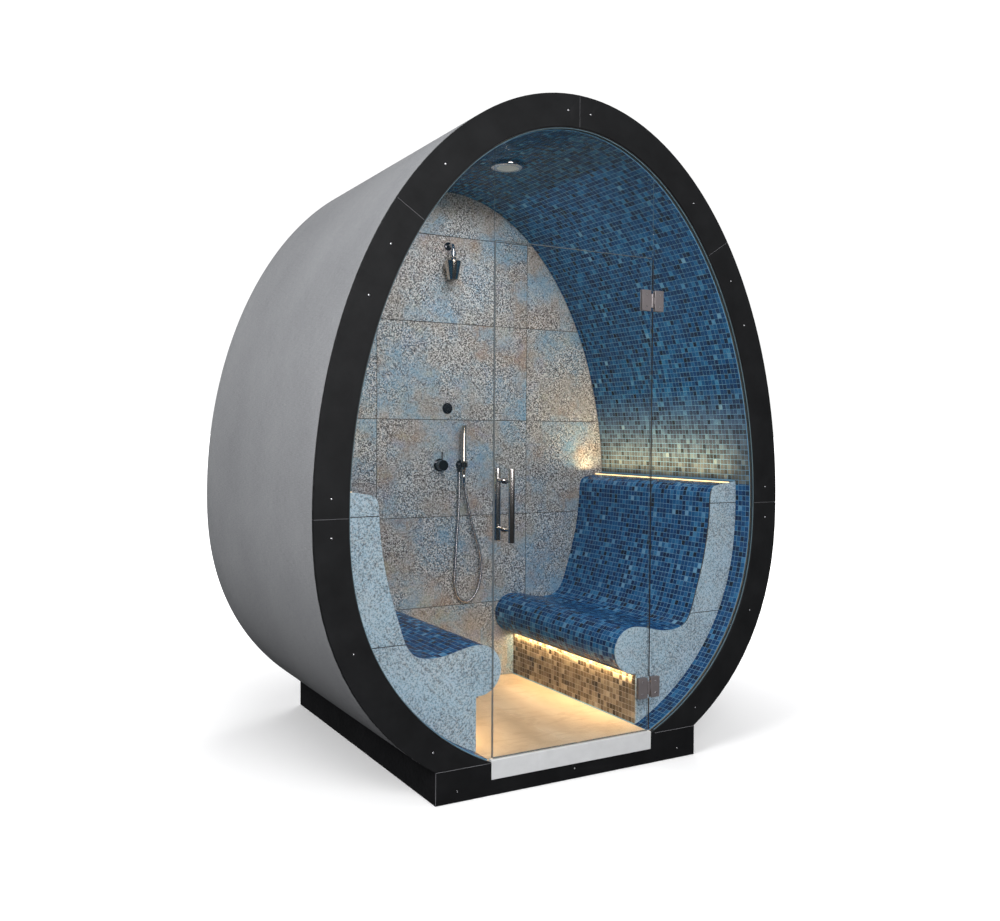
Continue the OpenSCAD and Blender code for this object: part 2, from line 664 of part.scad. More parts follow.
module threshold_plate() {
    color([0.72, 0.73, 0.74]) {
        block([-sill_half_w, front_y - 3, base_h - 68], [sill_half_w, front_y, sill_top_z]);
        block([-sill_half_w, front_y, base_h], [sill_half_w, ring_back_y, sill_top_z]);
    }
}

// ---------------------------------------------------------------- shower fittings
arm_r = 9;
arm_y = wall_y - shower_reach;
ball_r = 11;
ball_z = shower_z - 72;
module shower_arm() {
    color([0.8, 0.81, 0.83]) {
        rod_y(30, 0, shower_z, wall_y - 8, wall_y);
        rod_y(arm_r, 0, shower_z, arm_y, board_back_y + 12);
        translate([0, arm_y, shower_z]) sphere(r = arm_r);
        rod_z(arm_r, 0, arm_y, ball_z + 22, shower_z);
    }
}
module shower_swivel() {
    color([0.8, 0.81, 0.83]) {
        difference() {
            rod_z(15, 0, arm_y, ball_z + 13, ball_z + 38);
            rod_z(arm_r + play, 0, arm_y, ball_z + 22 - play, ball_z + 39);
        }
        rod_z(6, 0, arm_y, ball_z, ball_z + 14);
        translate([0, arm_y, ball_z]) sphere(r = ball_r);
    }
}
module shower_head() {
    color([0.8, 0.81, 0.83]) difference() {
        union() {
            translate([0, arm_y, ball_z - 108]) cylinder(r1 = 26, r2 = 41, h = 96);
            rod_z(17, 0, arm_y, ball_z - 14, ball_z + 5);
        }
        translate([0, arm_y, ball_z]) sphere(r = ball_r + loose);
        rod_z(22, 0, arm_y, ball_z - 109, ball_z - 105);
    }
}
button_r = 19;
button_travel = 3;
module button_bezel() {
    color([0.12, 0.12, 0.13]) difference() {
        rod_y(29, 0, button_z, wall_y - 7, wall_y);
        rod_y(button_r + loose, 0, button_z, wall_y - 8, wall_y + 1);
    }
}
module push_button() {
    color([0.5, 0.5, 0.52]) rod_y(button_r, 0, button_z, wall_y - 11, wall_y + tile_t);
}
mixer_stub_r = 20;
mixer_cap_r = 27;
mixer_spindle_r = 8;
mixer_reach = 52;
module mixer_body() {
    color([0.16, 0.16, 0.17]) {
        rod_y(33, -mixer_x, mixer_z, wall_y - 6, wall_y);
        rod_y(mixer_stub_r, -mixer_x, mixer_z, wall_y, board_back_y + 30);
        rod_y(mixer_spindle_r, -mixer_x, mixer_z, wall_y - mixer_reach + 12, wall_y - 5);
    }
}
module mixer_lever() {
    color([0.2, 0.2, 0.21]) {
        difference() {
            rod_y(mixer_cap_r, -mixer_x, mixer_z, wall_y - mixer_reach, wall_y - 6.5);
            rod_y(mixer_spindle_r + play, -mixer_x, mixer_z, wall_y - mixer_reach + 12 - play, wall_y);
        }
        rod_z(3.5, -mixer_x, wall_y - mixer_reach + 16, mixer_z + mixer_cap_r - 3, mixer_z + mixer_cap_r + 42);
    }
}
outlet_stub_r = 11;
handset_y = wall_y - 45;
holder_z0 = mixer_z - 12;
holder_h = 24;
handset_low_z = mixer_z - 51;
handset_top_z = mixer_z + 206;
spigot_x = outlet_x - 14;
spigot_y = wall_y - 20;
spigot_z = mixer_z - 37;
module hose_outlet() {
    color([0.16, 0.16, 0.17]) difference() {
        union() {
            rod_y(24, outlet_x, mixer_z, wall_y - 6, wall_y);
            rod_y(outlet_stub_r, outlet_x, mixer_z, handset_y, board_back_y + 20);
            rod_z(handset_r + 7, outlet_x, handset_y, holder_z0, holder_z0 + holder_h);
            rod_z(8.5, spigot_x, spigot_y, spigot_z, mixer_z);
        }
        rod_z(handset_r + loose, outlet_x, handset_y, holder_z0 - 9, holder_z0 + holder_h + 9);
    }
}
module hand_shower() {
    color([0.62, 0.56, 0.48]) {
        rod_z(handset_r, outlet_x, handset_y, holder_z0 - 14, handset_top_z);
        rod_z(handset_r + 3, outlet_x, handset_y, holder_z0 + holder_h + loose, holder_z0 + holder_h + 8);
        rod_z(9.5, outlet_x, handset_y, handset_low_z, holder_z0 - 13);
    }
}
// Hose route from the wall spigot, down, round and up to the hand shower.
hose_route = [
    [61, 365, 1235], [61, 365, 1210], [61, 364, 1160], [60, 363, 1100], [57, 362, 1030], [52, 362, 960],
    [47, 362, 880], [42, 362, 800], [37, 362, 720], [36, 362, 660], [43, 361, 610], [62, 360, 574],
    [90, 359, 557], [120, 357, 560], [150, 356, 585], [172, 354, 630], [184, 352, 690], [185, 350, 760],
    [168, 348, 840], [144, 346, 910], [122, 344, 980], [104, 342, 1050], [90, 341, 1120], [79, 340, 1180],
    [75, 340, 1205], [75, 340, 1221]];
hose_sides = 8;
hose_parts = 2;          // rings between two route points, less one
function hose_pick(i) = hose_route[max(0, min(i, len(hose_route) - 1))];
// Catmull-Rom curve through the route's points.
function hose_at(i, u) = let (a = hose_pick(i - 1), b = hose_pick(i), c = hose_pick(i + 1), d = hose_pick(i + 2))
    0.5 * (2 * b + (c - a) * u + (2 * a - 5 * b + 4 * c - d) * u * u + (3 * b - a - 3 * c + d) * u * u * u);
hose_line = concat([for (i = [0:len(hose_route) - 2], k = [0:hose_parts - 1]) hose_at(i, k / hose_parts)],
                   [hose_route[len(hose_route) - 1]]);
function hose_dir(i) = let (d = hose_line[min(i + 1, len(hose_line) - 1)] - hose_line[max(i - 1, 0)]) d / norm(d);
// The hose stays close to one upright plane, so that plane's normal frames every ring.
hose_normal = [0, 1, 0];
function hose_ring(i) = let (
        t = i == 0 || i == len(hose_line) - 1 ? [0, 0, 1] * sign(hose_dir(i)[2]) : hose_dir(i),
        u = cross(hose_normal, t) / norm(cross(hose_normal, t)), v = cross(t, u))
    [for (k = [0:hose_sides - 1]) let (a = 360 * k / hose_sides) hose_line[i] + hose_r * (cos(a) * u + sin(a) * v)];
module shower_hose() {
    rings = len(hose_line);
    n = hose_sides;
    color([0.72, 0.73, 0.75]) polyhedron(
        points = [for (i = [0:rings - 1]) each hose_ring(i)],
        faces = concat(
            [[for (k = [0:n - 1]) k]],
            [for (i = [0:rings - 2], k = [0:n - 1]) [i * n + k, (i + 1) * n + k, (i + 1) * n + (k + 1) % n, i * n + (k + 1) % n]],
            [[for (k = [n - 1:-1:0]) (rings - 1) * n + k]]));
}

// ---------------------------------------------------------------- services
crown_z = egg_mid_z + egg_rise;
vault_crown_z = crown_z - vault_inset;
module ceiling_light() {
    color([0.8, 0.82, 0.84]) {
        difference() {
            rod_z(ceiling_bezel_r, 0, ceiling_y, vault_crown_z - 20, vault_crown_z - 6);
            rod_z(ceiling_bezel_r - 14, 0, ceiling_y, vault_crown_z - 21, vault_crown_z - 17);
        }
        rod_z(ceiling_body_r, 0, ceiling_y, vault_crown_z - 7, vault_crown_z + 45);
    }
}
generator = [[-560, board_back_y + 20, 340], [-160, board_back_y + 240, 860]];
steam_pipe_y = board_back_y + 100;
module steam_generator() {
    color([0.85, 0.85, 0.84]) {
        block(generator[0], generator[1]);
        rod_z(steam_pipe_r, steam_x, steam_pipe_y, steam_z, generator[0][2] + 1);
        translate([steam_x, steam_pipe_y, steam_z]) sphere(r = steam_pipe_r);
        rod_y(steam_pipe_r, steam_x, steam_z, wall_y + 1, steam_pipe_y);
        for (z = [400, 800]) block([-500, board_back_y, z - 15], [-220, board_back_y + 21, z + 15]);
    }
}
module steam_nozzle() {
    color([0.8, 0.81, 0.83]) difference() {
        rod_y(42, steam_x, steam_z, wall_y - 20, wall_y);
        block([steam_x - 26, wall_y - 21, steam_z - 24], [steam_x + 26, wall_y - 8, steam_z - 12]);
        block([steam_x - 14, wall_y - 12, steam_z - 26], [steam_x + 14, wall_y - 4, steam_z + 14]);
    }
}
service_out = 26;        // how far the inlet and gland stand out behind the rear cover
module water_inlet() {
    color([0.78, 0.62, 0.3]) difference() {
        union() {
            rod_y(inlet_r - 0.6, inlet_x, inlet_z, cover_y - 18, cover_y + cover_t + 1);
            rod_y(inlet_r + 6, inlet_x, inlet_z, cover_y + cover_t, cover_y + cover_t + service_out - 20);
            rod_y(inlet_r, inlet_x, inlet_z, cover_y + cover_t + 1, cover_y + cover_t + service_out);
        }
        rod_y(inlet_r - 3, inlet_x, inlet_z, cover_y - 19, cover_y + cover_t + service_out + 1);
    }
}
module cable_gland() {
    color([0.15, 0.15, 0.16]) difference() {
        union() {
            rod_y(gland_r, inlet_x, gland_z, cover_y - 18, cover_y + cover_t + service_out);
            rod_y(gland_r + 5, inlet_x, gland_z, cover_y + cover_t, cover_y + cover_t + 10);
        }
        rod_y(7, inlet_x, gland_z, cover_y - 19, cover_y + cover_t + service_out + 1);
    }
}

base_frame();
base_front_panel();
base_side_panels();
base_rear_panel();
frame_screws();
floor_tray();
floor_tiles();
drain_body();
drain_grate();
ring_lower_left();
ring_middle_left();
ring_upper_left();
ring_upper_right();
ring_middle_right();
ring_lower_right();
outer_shell();
shell_ribs();
insulation_core();
vault_lining();
back_wall_board();
back_wall_tiles();
rear_cover();
service_hatch();
hatch_hinge_pins();
bench_core_left();
bench_core_right();
bench_mosaic_left();
bench_mosaic_right();
skirt_mosaic();
cheek_tiles_left();
cheek_tiles_right();
backrest_lights();
seat_lights();
side_glass_left();
side_glass_right();
transom_glass();
door_glass();
glazing_gasket();
door_seals();
hinge_fixed_leaves();
hinge_door_leaves();
hinge_pins();
door_handle();
threshold_plate();
shower_arm();
shower_swivel();
shower_head();
button_bezel();
push_button();
mixer_body();
mixer_lever();
hose_outlet();
hand_shower();
shower_hose();
ceiling_light();
steam_generator();
steam_nozzle();
water_inlet();
cable_gland();
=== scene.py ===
"""Looks of the egg-shaped steam cabin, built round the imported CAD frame. Metres, Z up, the door faces -Y."""
import json
import math

import bmesh
import bpy
import numpy as np
from mathutils import Matrix, Vector


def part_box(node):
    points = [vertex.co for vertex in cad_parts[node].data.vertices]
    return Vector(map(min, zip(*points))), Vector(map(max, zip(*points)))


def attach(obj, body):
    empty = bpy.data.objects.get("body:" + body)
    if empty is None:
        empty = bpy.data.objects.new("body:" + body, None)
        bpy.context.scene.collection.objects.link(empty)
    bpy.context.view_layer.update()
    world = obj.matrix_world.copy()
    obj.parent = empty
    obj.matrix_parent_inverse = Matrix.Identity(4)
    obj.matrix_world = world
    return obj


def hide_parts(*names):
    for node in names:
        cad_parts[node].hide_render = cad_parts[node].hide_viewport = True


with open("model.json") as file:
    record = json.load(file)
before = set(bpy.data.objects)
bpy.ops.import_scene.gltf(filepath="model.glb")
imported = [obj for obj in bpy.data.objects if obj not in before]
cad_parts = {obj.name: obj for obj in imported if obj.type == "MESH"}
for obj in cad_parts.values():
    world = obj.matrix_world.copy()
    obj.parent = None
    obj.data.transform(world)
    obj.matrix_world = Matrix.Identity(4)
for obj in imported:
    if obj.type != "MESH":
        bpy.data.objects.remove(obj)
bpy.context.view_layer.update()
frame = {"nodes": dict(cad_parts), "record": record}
bpy.context.scene.view_settings.view_transform = "Standard"
draw = np.random.default_rng(7)


# ------------------------------------------------------------------ driving dimensions
def low(node):
    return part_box(node)[0]


def high(node):
    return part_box(node)[1]


HALF_W = high("outer_shell")[0]
CROWN = high("outer_shell")[2]
FRONT = low("ring_middle_left")[1]
RING_BACK = high("ring_middle_left")[1]
REAR = high("outer_shell")[1]
BASE_H = high("base_side_panels")[2]
WALL_Y = low("back_wall_tiles")[1]
CHEEK_Y = low("cheek_tiles_right")[1]
FLOOR_Z = high("floor_tiles")[2]
LEDGE_Z = FLOOR_Z + 1.064       # top of the backrests
PAINTED_GLOW_REACH = 0.46       # height over the ledge up to which its mosaic carries a painted warm glow
TILE_T = high("cheek_tiles_right")[1] - CHEEK_Y
MID_Z = 1.123           # height of the widest line of the egg
DROP = 1.176            # from there to the lowest point of the full outline
LOWER_POWER = 2.3       # fullness of the lower half
FOOT_SLIM = 0.27        # share of the wall's width lost at the foot
RISE = CROWN - MID_Z
RING_W = 0.132
LINING_T = 0.012
VAULT_INSET = CROWN - high("vault_lining")[2] + LINING_T
CHIP_PITCH = 0.024
CHIP_GAP = 0.0024
CHIP_RISE = 0.0024


def egg_at(t, inset=0.0):
    """Point of the outline at angle t in radians, moved inwards by inset. Returns (x, z)."""
    c, s = math.cos(t), math.sin(t)
    if s >= 0:
        x, z = HALF_W * c, RISE * s
        nx, nz = 2 * c / HALF_W, 2 * s / RISE
    else:
        x, z = HALF_W * c, -DROP * (-s) ** (2 / LOWER_POWER)
        nx, nz = 2 * c / HALF_W, -LOWER_POWER * (-s) ** (2 - 2 / LOWER_POWER) / DROP
    n = math.hypot(nx, nz)
    share = 1 if s >= 0 else 1 - FOOT_SLIM * (-s) ** 5
    return x - inset * share * nx / n, MID_Z + z - inset * share * nz / n


def foot_angle(inset, z):
    """Angle on the right side, below the middle, where the inset outline reaches the height z."""
    a, b = -math.pi / 2, 0.0
    for _ in range(40):
        m = (a + b) / 2
        if egg_at(m, inset)[1] < z:
            a = m
        else:
            b = m
    return (a + b) / 2


def egg_line(inset, low_z, steps=360):
    """The outline from its right foot over the crown to its left foot."""
    t0 = foot_angle(inset, low_z)
    return [egg_at(t0 + (math.pi - 2 * t0) * i / steps, inset) for i in range(steps + 1)]


def resample(path, pitch):
    """The path cut into equal stretches near the pitch, as an array of points."""
    p = np.array(path, float)
    run = np.concatenate([[0], np.cumsum(np.linalg.norm(np.diff(p, axis=0), axis=1))])
    count = max(1, round(run[-1] / pitch))
    at = np.linspace(0, run[-1], count + 1)
    return np.stack([np.interp(at, run, p[:, k]) for k in range(p.shape[1])], axis=1)


# ------------------------------------------------------------------ camera
EYE = Vector((-2.2823, -4.1548, 1.4336))
YAW, PITCH, ROLL = 0.520, -0.027, 0.006
LENS = 35.2


def make_camera():
    look = Vector((math.sin(YAW) * math.cos(PITCH), math.cos(YAW) * math.cos(PITCH), math.sin(PITCH)))
    right = Vector((math.cos(YAW), -math.sin(YAW), 0))
    up = right.cross(look)
    right, up = right * math.cos(ROLL) + up * math.sin(ROLL), up * math.cos(ROLL) - right * math.sin(ROLL)
    data = bpy.data.cameras.new("camera")
    data.lens = LENS
    data.sensor_width = 36
    cam = bpy.data.objects.new("camera", data)
    cam.matrix_world = Matrix((
        (right.x, up.x, -look.x, EYE.x), (right.y, up.y, -look.y, EYE.y), (right.z, up.z, -look.z, EYE.z),
        (0, 0, 0, 1)))
    bpy.context.collection.objects.link(cam)
    bpy.context.scene.camera = cam


make_camera()


# ------------------------------------------------------------------ shader helper
class Shader:
    """A material with a Principled shader and short calls for its nodes."""

    def __init__(self, name, color=(0.5, 0.5, 0.5), roughness=0.5, metallic=0.0, **sockets):
        self.mat = bpy.data.materials.new(name)
        self.mat.use_nodes = True
        self.tree = self.mat.node_tree
        self.out = self.tree.nodes["Principled BSDF"]
        self.put("Base Color", (*color, 1) if isinstance(color, tuple) else color)
        self.put("Roughness", roughness)
        self.put("Metallic", metallic)
        for key, value in sockets.items():
            self.put(key.replace("_", " "), value)

    def put(self, socket, value):
        target = self.out.inputs[socket]
        if isinstance(value, bpy.types.NodeSocket):
            self.tree.links.new(value, target)
        else:
            target.default_value = value

    def node(self, kind, *values, **props):
        n = self.tree.nodes.new("ShaderNode" + kind)
        for key, value in props.items():
            setattr(n, key, value)
        for i, v in enumerate(values):
            if v is None:
                continue
            if isinstance(v, bpy.types.NodeSocket):
                self.tree.links.new(v, n.inputs[i])
            else:
                n.inputs[i].default_value = v
        return n

    def math(self, operation, a, b=0.0, c=0.0):
        return self.node("Math", a, b, c, operation=operation).outputs[0]

    def times(self, a, b):
        return self.math("MULTIPLY", a, b)

    def plus(self, a, b):
        return self.math("ADD", a, b)

    def place(self, scale=(1, 1, 1), turn=(0, 0, 0)):
        source = self.node("TexCoord").outputs["Object"]
        return self.node("Mapping", source, None, turn, scale).outputs[0]

    def uv(self, scale=(1, 1, 1)):
        source = self.node("UVMap", uv_map="map").outputs[0]
        return self.node("Mapping", source, None, None, scale).outputs[0]

    def noise(self, where, scale, detail=3.0, rough=0.55, color=False):
        n = self.node("TexNoise")
        self.tree.links.new(where, n.inputs["Vector"])
        n.inputs["Scale"].default_value = scale
        n.inputs["Detail"].default_value = detail
        n.inputs["Roughness"].default_value = rough
        return n.outputs["Color" if color else 0]

    def cells(self, where, scale, feature="F1", output="Distance", distance="EUCLIDEAN"):
        n = self.node("TexVoronoi", feature=feature, distance=distance)
        self.tree.links.new(where, n.inputs["Vector"])
        n.inputs["Scale"].default_value = scale
        return n.outputs[output]

    def span(self, value, a, b, c=0.0, d=1.0):
        """Maps a..b to c..d, clamped."""
        n = self.node("MapRange", value, a, b, c, d)
        return n.outputs[0]

    def ramp(self, factor, *stops):
        n = self.node("ValToRGB", factor)
        ramp = n.color_ramp
        while len(ramp.elements) < len(stops):
            ramp.elements.new(0.5)
        for e, (at, color) in zip(ramp.elements, stops):
            e.position = at
            e.color = (*color, 1)
        return n.outputs[0]

    def mix(self, factor, a, b, blend="MIX"):
        n = self.node("Mix", data_type="RGBA", blend_type=blend)
        for index, v in ((0, factor), (6, a), (7, b)):
            if isinstance(v, bpy.types.NodeSocket):
                self.tree.links.new(v, n.inputs[index])
            else:
                n.inputs[index].default_value = (*v, 1) if isinstance(v, tuple) else v
        return n.outputs[2]

    def attribute(self, name, output="Fac"):
        return self.node("Attribute", attribute_name=name).outputs[output]

    def bump(self, height, strength=0.3, distance=0.001):
        n = self.node("Bump")
        n.inputs["Strength"].default_value = strength
        n.inputs["Distance"].default_value = distance
        self.tree.links.new(height, n.inputs["Height"])
        self.put("Normal", n.outputs[0])


# ------------------------------------------------------------------ materials
def black_composite(name, tone, rough):
    s = Shader(name, roughness=rough, Specular_IOR_Level=0.12)
    where = s.place()
    cloud = s.noise(where, 9, 5)
    speck = s.noise(where, 420, 2)
    s.put("Base Color",
          s.mix(s.span(cloud, 0.3, 0.7), tuple(v * 0.8 for v in tone), tuple(v * 1.25 for v in tone)))
    s.put("Roughness", s.span(s.noise(where, 60, 4), 0.3, 0.7, rough - 0.06, rough + 0.1))
    s.bump(speck, 0.12, 0.0004)
    return s.mat


def woven_shell():
    s = Shader("shell_weave", roughness=0.82)
    thread = s.uv()
    split = s.node("SeparateXYZ", thread)
    along = s.math("SINE", s.times(split.outputs[0], 2 * math.pi / 0.0042))
    across = s.math("SINE", s.times(split.outputs[1], 2 * math.pi / 0.0042))
    weave = s.times(along, across)
    slub_a = s.noise(s.uv((900, 26, 1)), 1, 4, 0.7)
    slub_b = s.noise(s.uv((26, 900, 1)), 1, 4, 0.7)
    slub = s.plus(slub_a, slub_b)
    cloud = s.noise(s.place(), 2.2, 5, 0.6)
    tone = s.plus(s.times(s.span(slub, 0.75, 1.25), 0.55), s.times(cloud, 0.45))
    s.put("Base Color",
          s.ramp(tone, (0.2, (0.185, 0.19, 0.2)), (0.5, (0.262, 0.268, 0.28)), (0.85, (0.345, 0.35, 0.36))))
    s.put("Roughness", s.span(slub, 0.7, 1.3, 0.9, 0.7))
    s.bump(s.plus(s.times(weave, 0.25), slub), 0.55, 0.0012)
    return s.mat


def glazed_chips(name, stops, painted_glow=False):
    """Chips whose tone attribute picks the glaze; each has a cloudy glaze of its own."""
    s = Shader(name, roughness=0.2, Specular_IOR_Level=0.2)
    where = s.place()
    cloud = s.noise(where, 130, 4, 0.6)
    fine = s.noise(where, 700, 2)
    tone = s.plus(s.attribute("tone"), s.times(s.math("SUBTRACT", cloud, 0.5), 0.24))
    base = s.ramp(tone, *stops)
    if painted_glow:
        # Painted warm glow that fades with height above the ledge: the warm lamp alone turns blue chips
        # turquoise. The tint stays on the chips whatever light falls on them.
        height = s.node("SeparateXYZ", where).outputs[2]
        base = s.mix(s.times(s.span(height, LEDGE_Z + 0.02, LEDGE_Z + PAINTED_GLOW_REACH, 0.8, 0.0),
                            s.math("GREATER_THAN", height, LEDGE_Z + 0.004)), base,
                     s.ramp(tone, (0.1, (0.05, 0.05, 0.04)), (0.45, (0.16, 0.155, 0.105)),
                            (0.9, (0.30, 0.29, 0.20))))
    s.put("Base Color", s.mix(1.0, base, s.ramp(fine, (0.25, (0.9,) * 3), (0.75, (1.0,) * 3)), "MULTIPLY"))
    s.put("Roughness", s.span(cloud, 0.3, 0.7, 0.1, 0.26))
    s.bump(cloud, 0.12, 0.0006)
    return s.mat


def grout(name, tone):
    s = Shader(name, roughness=0.9)
    where = s.place()
    s.put("Base Color", s.mix(s.noise(where, 14, 4), tuple(v * 0.82 for v in tone), tone))
    s.bump(s.noise(where, 900, 2), 0.3, 0.0004)
    return s.mat


def carpet_tile(name, cool, light=0.0):
    """Porcelain printed with worn patches of ornament. cool moves the patches towards pale blue."""
    s = Shader(name, roughness=0.5)
    where = s.place()
    shift = s.attribute("shift", "Vector")
    spot = s.node("VectorMath", where, shift, operation="ADD").outputs[0]
    bent = s.node("VectorMath", s.noise(spot, 34, 2, color=True), (0.009, 0.009, 0.009),
                  operation="MULTIPLY").outputs[0]
    bent = s.node("VectorMath", spot, bent, operation="ADD").outputs[0]
    split = s.node("SeparateXYZ", bent)
    x, z = split.outputs[0], split.outputs[2]

    def wave(v, period, phase=0.0):
        return s.math("COSINE", s.math("MULTIPLY_ADD", v, 2 * math.pi / period, phase))

    def moved(dx, dz):
        return s.node("VectorMath", spot, (dx, 0, dz), operation="ADD").outputs[0]

    # ornaments: a diamond lattice with a dot in each field, rosettes, a braided border and scrolls
    up, down = s.plus(x, z), s.math("SUBTRACT", x, z)
    lattice = s.math("ABSOLUTE", s.times(wave(up, 0.096), wave(down, 0.096)))
    lattice = s.math("MAXIMUM", s.span(lattice, 0.06, 0.2, 1, 0), s.span(lattice, 0.84, 0.94, 0, 1))
    rosette = s.plus(s.times(wave(x, 0.062), wave(z, 0.062)), s.times(wave(up, 0.031), 0.7))
    rosette = s.span(rosette, 0.25, 0.5)
    braid = s.plus(s.times(wave(x, 0.044), wave(z, 0.088)), s.times(wave(down, 0.022), 0.6))
    braid = s.span(braid, 0.15, 0.4)
    scroll = s.span(s.cells(bent, 44, "DISTANCE_TO_EDGE"), 0.06, 0.18, 1, 0)
    flat = s.node("Mapping", spot, None, None, (1, 0.01, 1)).outputs[0]
    pick = s.node("SeparateColor", s.cells(flat, 5.2, "F1", "Color", "CHEBYCHEV"))
    first = s.mix(s.math("GREATER_THAN", pick.outputs[0], 0.55), lattice, rosette)
    second = s.mix(s.math("GREATER_THAN", pick.outputs[1], 0.5), braid, scroll)
    ornament = s.mix(s.math("GREATER_THAN", pick.outputs[2], 0.5), first, second)
    wear = s.noise(spot, 4.2, 8, 0.7)
    fray = s.noise(spot, 60, 5, 0.75)
    dense = s.span(wear, 0.42, 0.56)
    worn = s.span(s.plus(wear, s.times(s.math("SUBTRACT", fray, 0.5), 1.5)), 0.40, 0.56)
    ink = s.times(ornament, worn)
    # ground: clouds of beige, grey, rust and pale blue with frayed borders
    cloud = s.plus(s.noise(moved(1.3, 0.4), 2.6, 6, 0.66),
                   s.times(s.math("SUBTRACT", pick.outputs[0], 0.5), 0.12))
    edge = 0.49 + cool
    ground = s.ramp(cloud, (edge - 0.13, (0.15, 0.30, 0.44)), (edge - 0.03, (0.22, 0.32, 0.39)),
                    (edge + 0.03, (0.28, 0.29, 0.285)),
                    (edge + 0.2, (0.33, 0.28, 0.22)))
    rust, lilac, olive, grey = (0.27, 0.165, 0.105), (0.24, 0.25, 0.38), (0.32, 0.34, 0.20), (0.40, 0.43,
                                                                                              0.45)
    for tint, offset, scale, detail, rough, start, full, share in (
            (rust, (3.1, 1.7), 3.4, 7, 0.7, 0.51, 0.64, 0.7 if cool < 0.1 else 0.2),
            (lilac, (5.9, 2.3), 7.5, 4, 0.6, 0.57, 0.66, 0.4),
            (olive, (9.1, 6.4), 8.5, 4, 0.6, 0.58, 0.68, 0.35),
            (grey, (7.7, 4.2), 6.5, 7, 0.7, 0.5, 0.64, 0.5)):
        ground = s.mix(s.span(s.noise(moved(*offset), scale, detail, rough), start, full, 0, share), ground,
                       tint)
    if light:
        ground = s.mix(light, ground, (0.62, 0.83, 0.95))
    dark = s.mix(s.span(cloud, 0.4, 0.6), (0.035, 0.05, 0.075), (0.06, 0.042, 0.034))
    printed = s.mix(s.times(ink, 0.45 if light else 0.8), ground, dark)
    # two runs of speckle: pinpoints all over, and coarser flecks where the print is dense
    pin = s.noise(spot, 125, 2, 0.8)
    fleck = s.noise(spot, 74, 3, 0.8)
    pinned = s.span(dense, 0, 1, 0.5 if light else 0.34, 0.6 if light else 1)
    flecked = s.span(dense, 0, 1, 0.0, 0.5 if light else 1)
    for grain, where_on, start, full, share, tint in (
            (fleck, flecked, 0.52, 0.58, 0.75, (0.06, 0.055, 0.055)),
            (fleck, flecked, 0.48, 0.41, 0.65, (0.50, 0.52, 0.52)),
            (pin, pinned, 0.52, 0.575, 0.95, (0.035, 0.035, 0.04)),
            (pin, pinned, 0.48, 0.415, 0.9, (0.64, 0.65, 0.65))):
        printed = s.mix(s.times(s.span(grain, start, full, 0, share), where_on), printed, tint)
    s.put("Base Color", printed)
    s.put("Roughness", s.span(wear, 0.3, 0.7, 0.38, 0.6))
    s.bump(s.plus(fray, s.times(ink, -0.4)), 0.18, 0.0006)
    return s.mat


def stone_floor():
    s = Shader("floor_stone", roughness=0.4)
    where = s.place()
    flow = s.noise(s.place((5, 2.2, 1)), 1.4, 8, 0.62)
    vein = s.math("ABSOLUTE",
                  s.math("SUBTRACT", s.noise(s.place((1.6, 4, 1), (0, 0, 0.6)), 1.5, 8, 0.6), 0.5))
    base = s.ramp(flow, (0.3, (0.50, 0.38, 0.25)), (0.5, (0.64, 0.51, 0.36)), (0.72, (0.74, 0.63, 0.48)))
    base = s.mix(s.span(vein, 0.0, 0.03, 0.4, 0.0), base, (0.42, 0.29, 0.17))
    s.put("Base Color", s.mix(s.span(s.noise(where, 190, 3), 0.55, 0.75, 0, 0.35), base, (0.40, 0.30, 0.2)))
    s.put("Roughness", s.span(flow, 0.3, 0.7, 0.32, 0.5))
    s.bump(s.noise(where, 120, 4), 0.12, 0.0008)
    return s.mat


def metal(name, tone, rough, brushed=None, metallic=1.0):
    """Metal with fine scratches; brushed gives the scale of a grain that runs one way."""
    s = Shader(name, roughness=rough, metallic=metallic)
    where = s.place()
    grain = s.noise(s.place(brushed) if brushed else where, 1 if brushed else 240, 3, 0.6)
    smudge = s.noise(where, 21, 4)
    s.put("Base Color", s.mix(smudge, tuple(v * 0.88 for v in tone), tuple(min(1, v * 1.08) for v in tone)))
    s.put("Roughness", s.span(s.plus(grain, s.times(smudge, 0.4)), 0.4, 1.0, rough * 0.75, rough * 1.35))
    s.bump(grain, 0.1 if brushed else 0.03, 0.0003)
    return s.mat


def plain(name, tone, rough, grain=300, depth=0.15, spread=0.12):
    """Moulded or cast stuff with a fine grain and a little colour drift."""
    s = Shader(name, roughness=rough)
    where = s.place()
    drift = s.noise(where, 7, 5)
    s.put("Base Color",
          s.mix(drift, tuple(v * (1 - spread) for v in tone), tuple(min(1, v * (1 + spread)) for v in tone)))
    s.put("Roughness", s.span(drift, 0.3, 0.7, rough - 0.05, rough + 0.07))
    s.bump(s.noise(where, grain, 3), depth, 0.0006)
    return s.mat


def plywood():
    s = Shader("plywood", roughness=0.6)
    rings = s.noise(s.place((2, 40, 3)), 1.5, 6, 0.6)
    s.put("Base Color", s.ramp(rings, (0.3, (0.42, 0.27, 0.14)), (0.7, (0.62, 0.45, 0.27))))
    s.bump(rings, 0.2, 0.0006)
    return s.mat


def clear_glass(name, tone, alpha_face, alpha_edge):
    """Glass that lets light straight through: it turns opaque only at grazing angles."""
    s = Shader(name, color=tone, roughness=0.03, Specular_IOR_Level=0.15)
    rim = s.node("LayerWeight", 0.25).outputs["Fresnel"]
    film = s.noise(s.place(), 3.0, 3)
    s.put("Alpha", s.span(s.plus(rim, s.times(film, 0.02)), 0.0, 1.0, alpha_face, alpha_edge))
    return s.mat


def glow(name, tone, strength):
    s = Shader(name, color=tone, roughness=0.4)
    s.put("Emission Color", (*tone, 1))
    dots = s.node("SeparateXYZ", s.place()).outputs[1]
    lamps = s.math("COSINE", s.times(dots, 2 * math.pi / 0.0167))
    s.put("Emission Strength", s.span(lamps, -1, 1, strength * 0.85, strength * 1.15))
    return s.mat


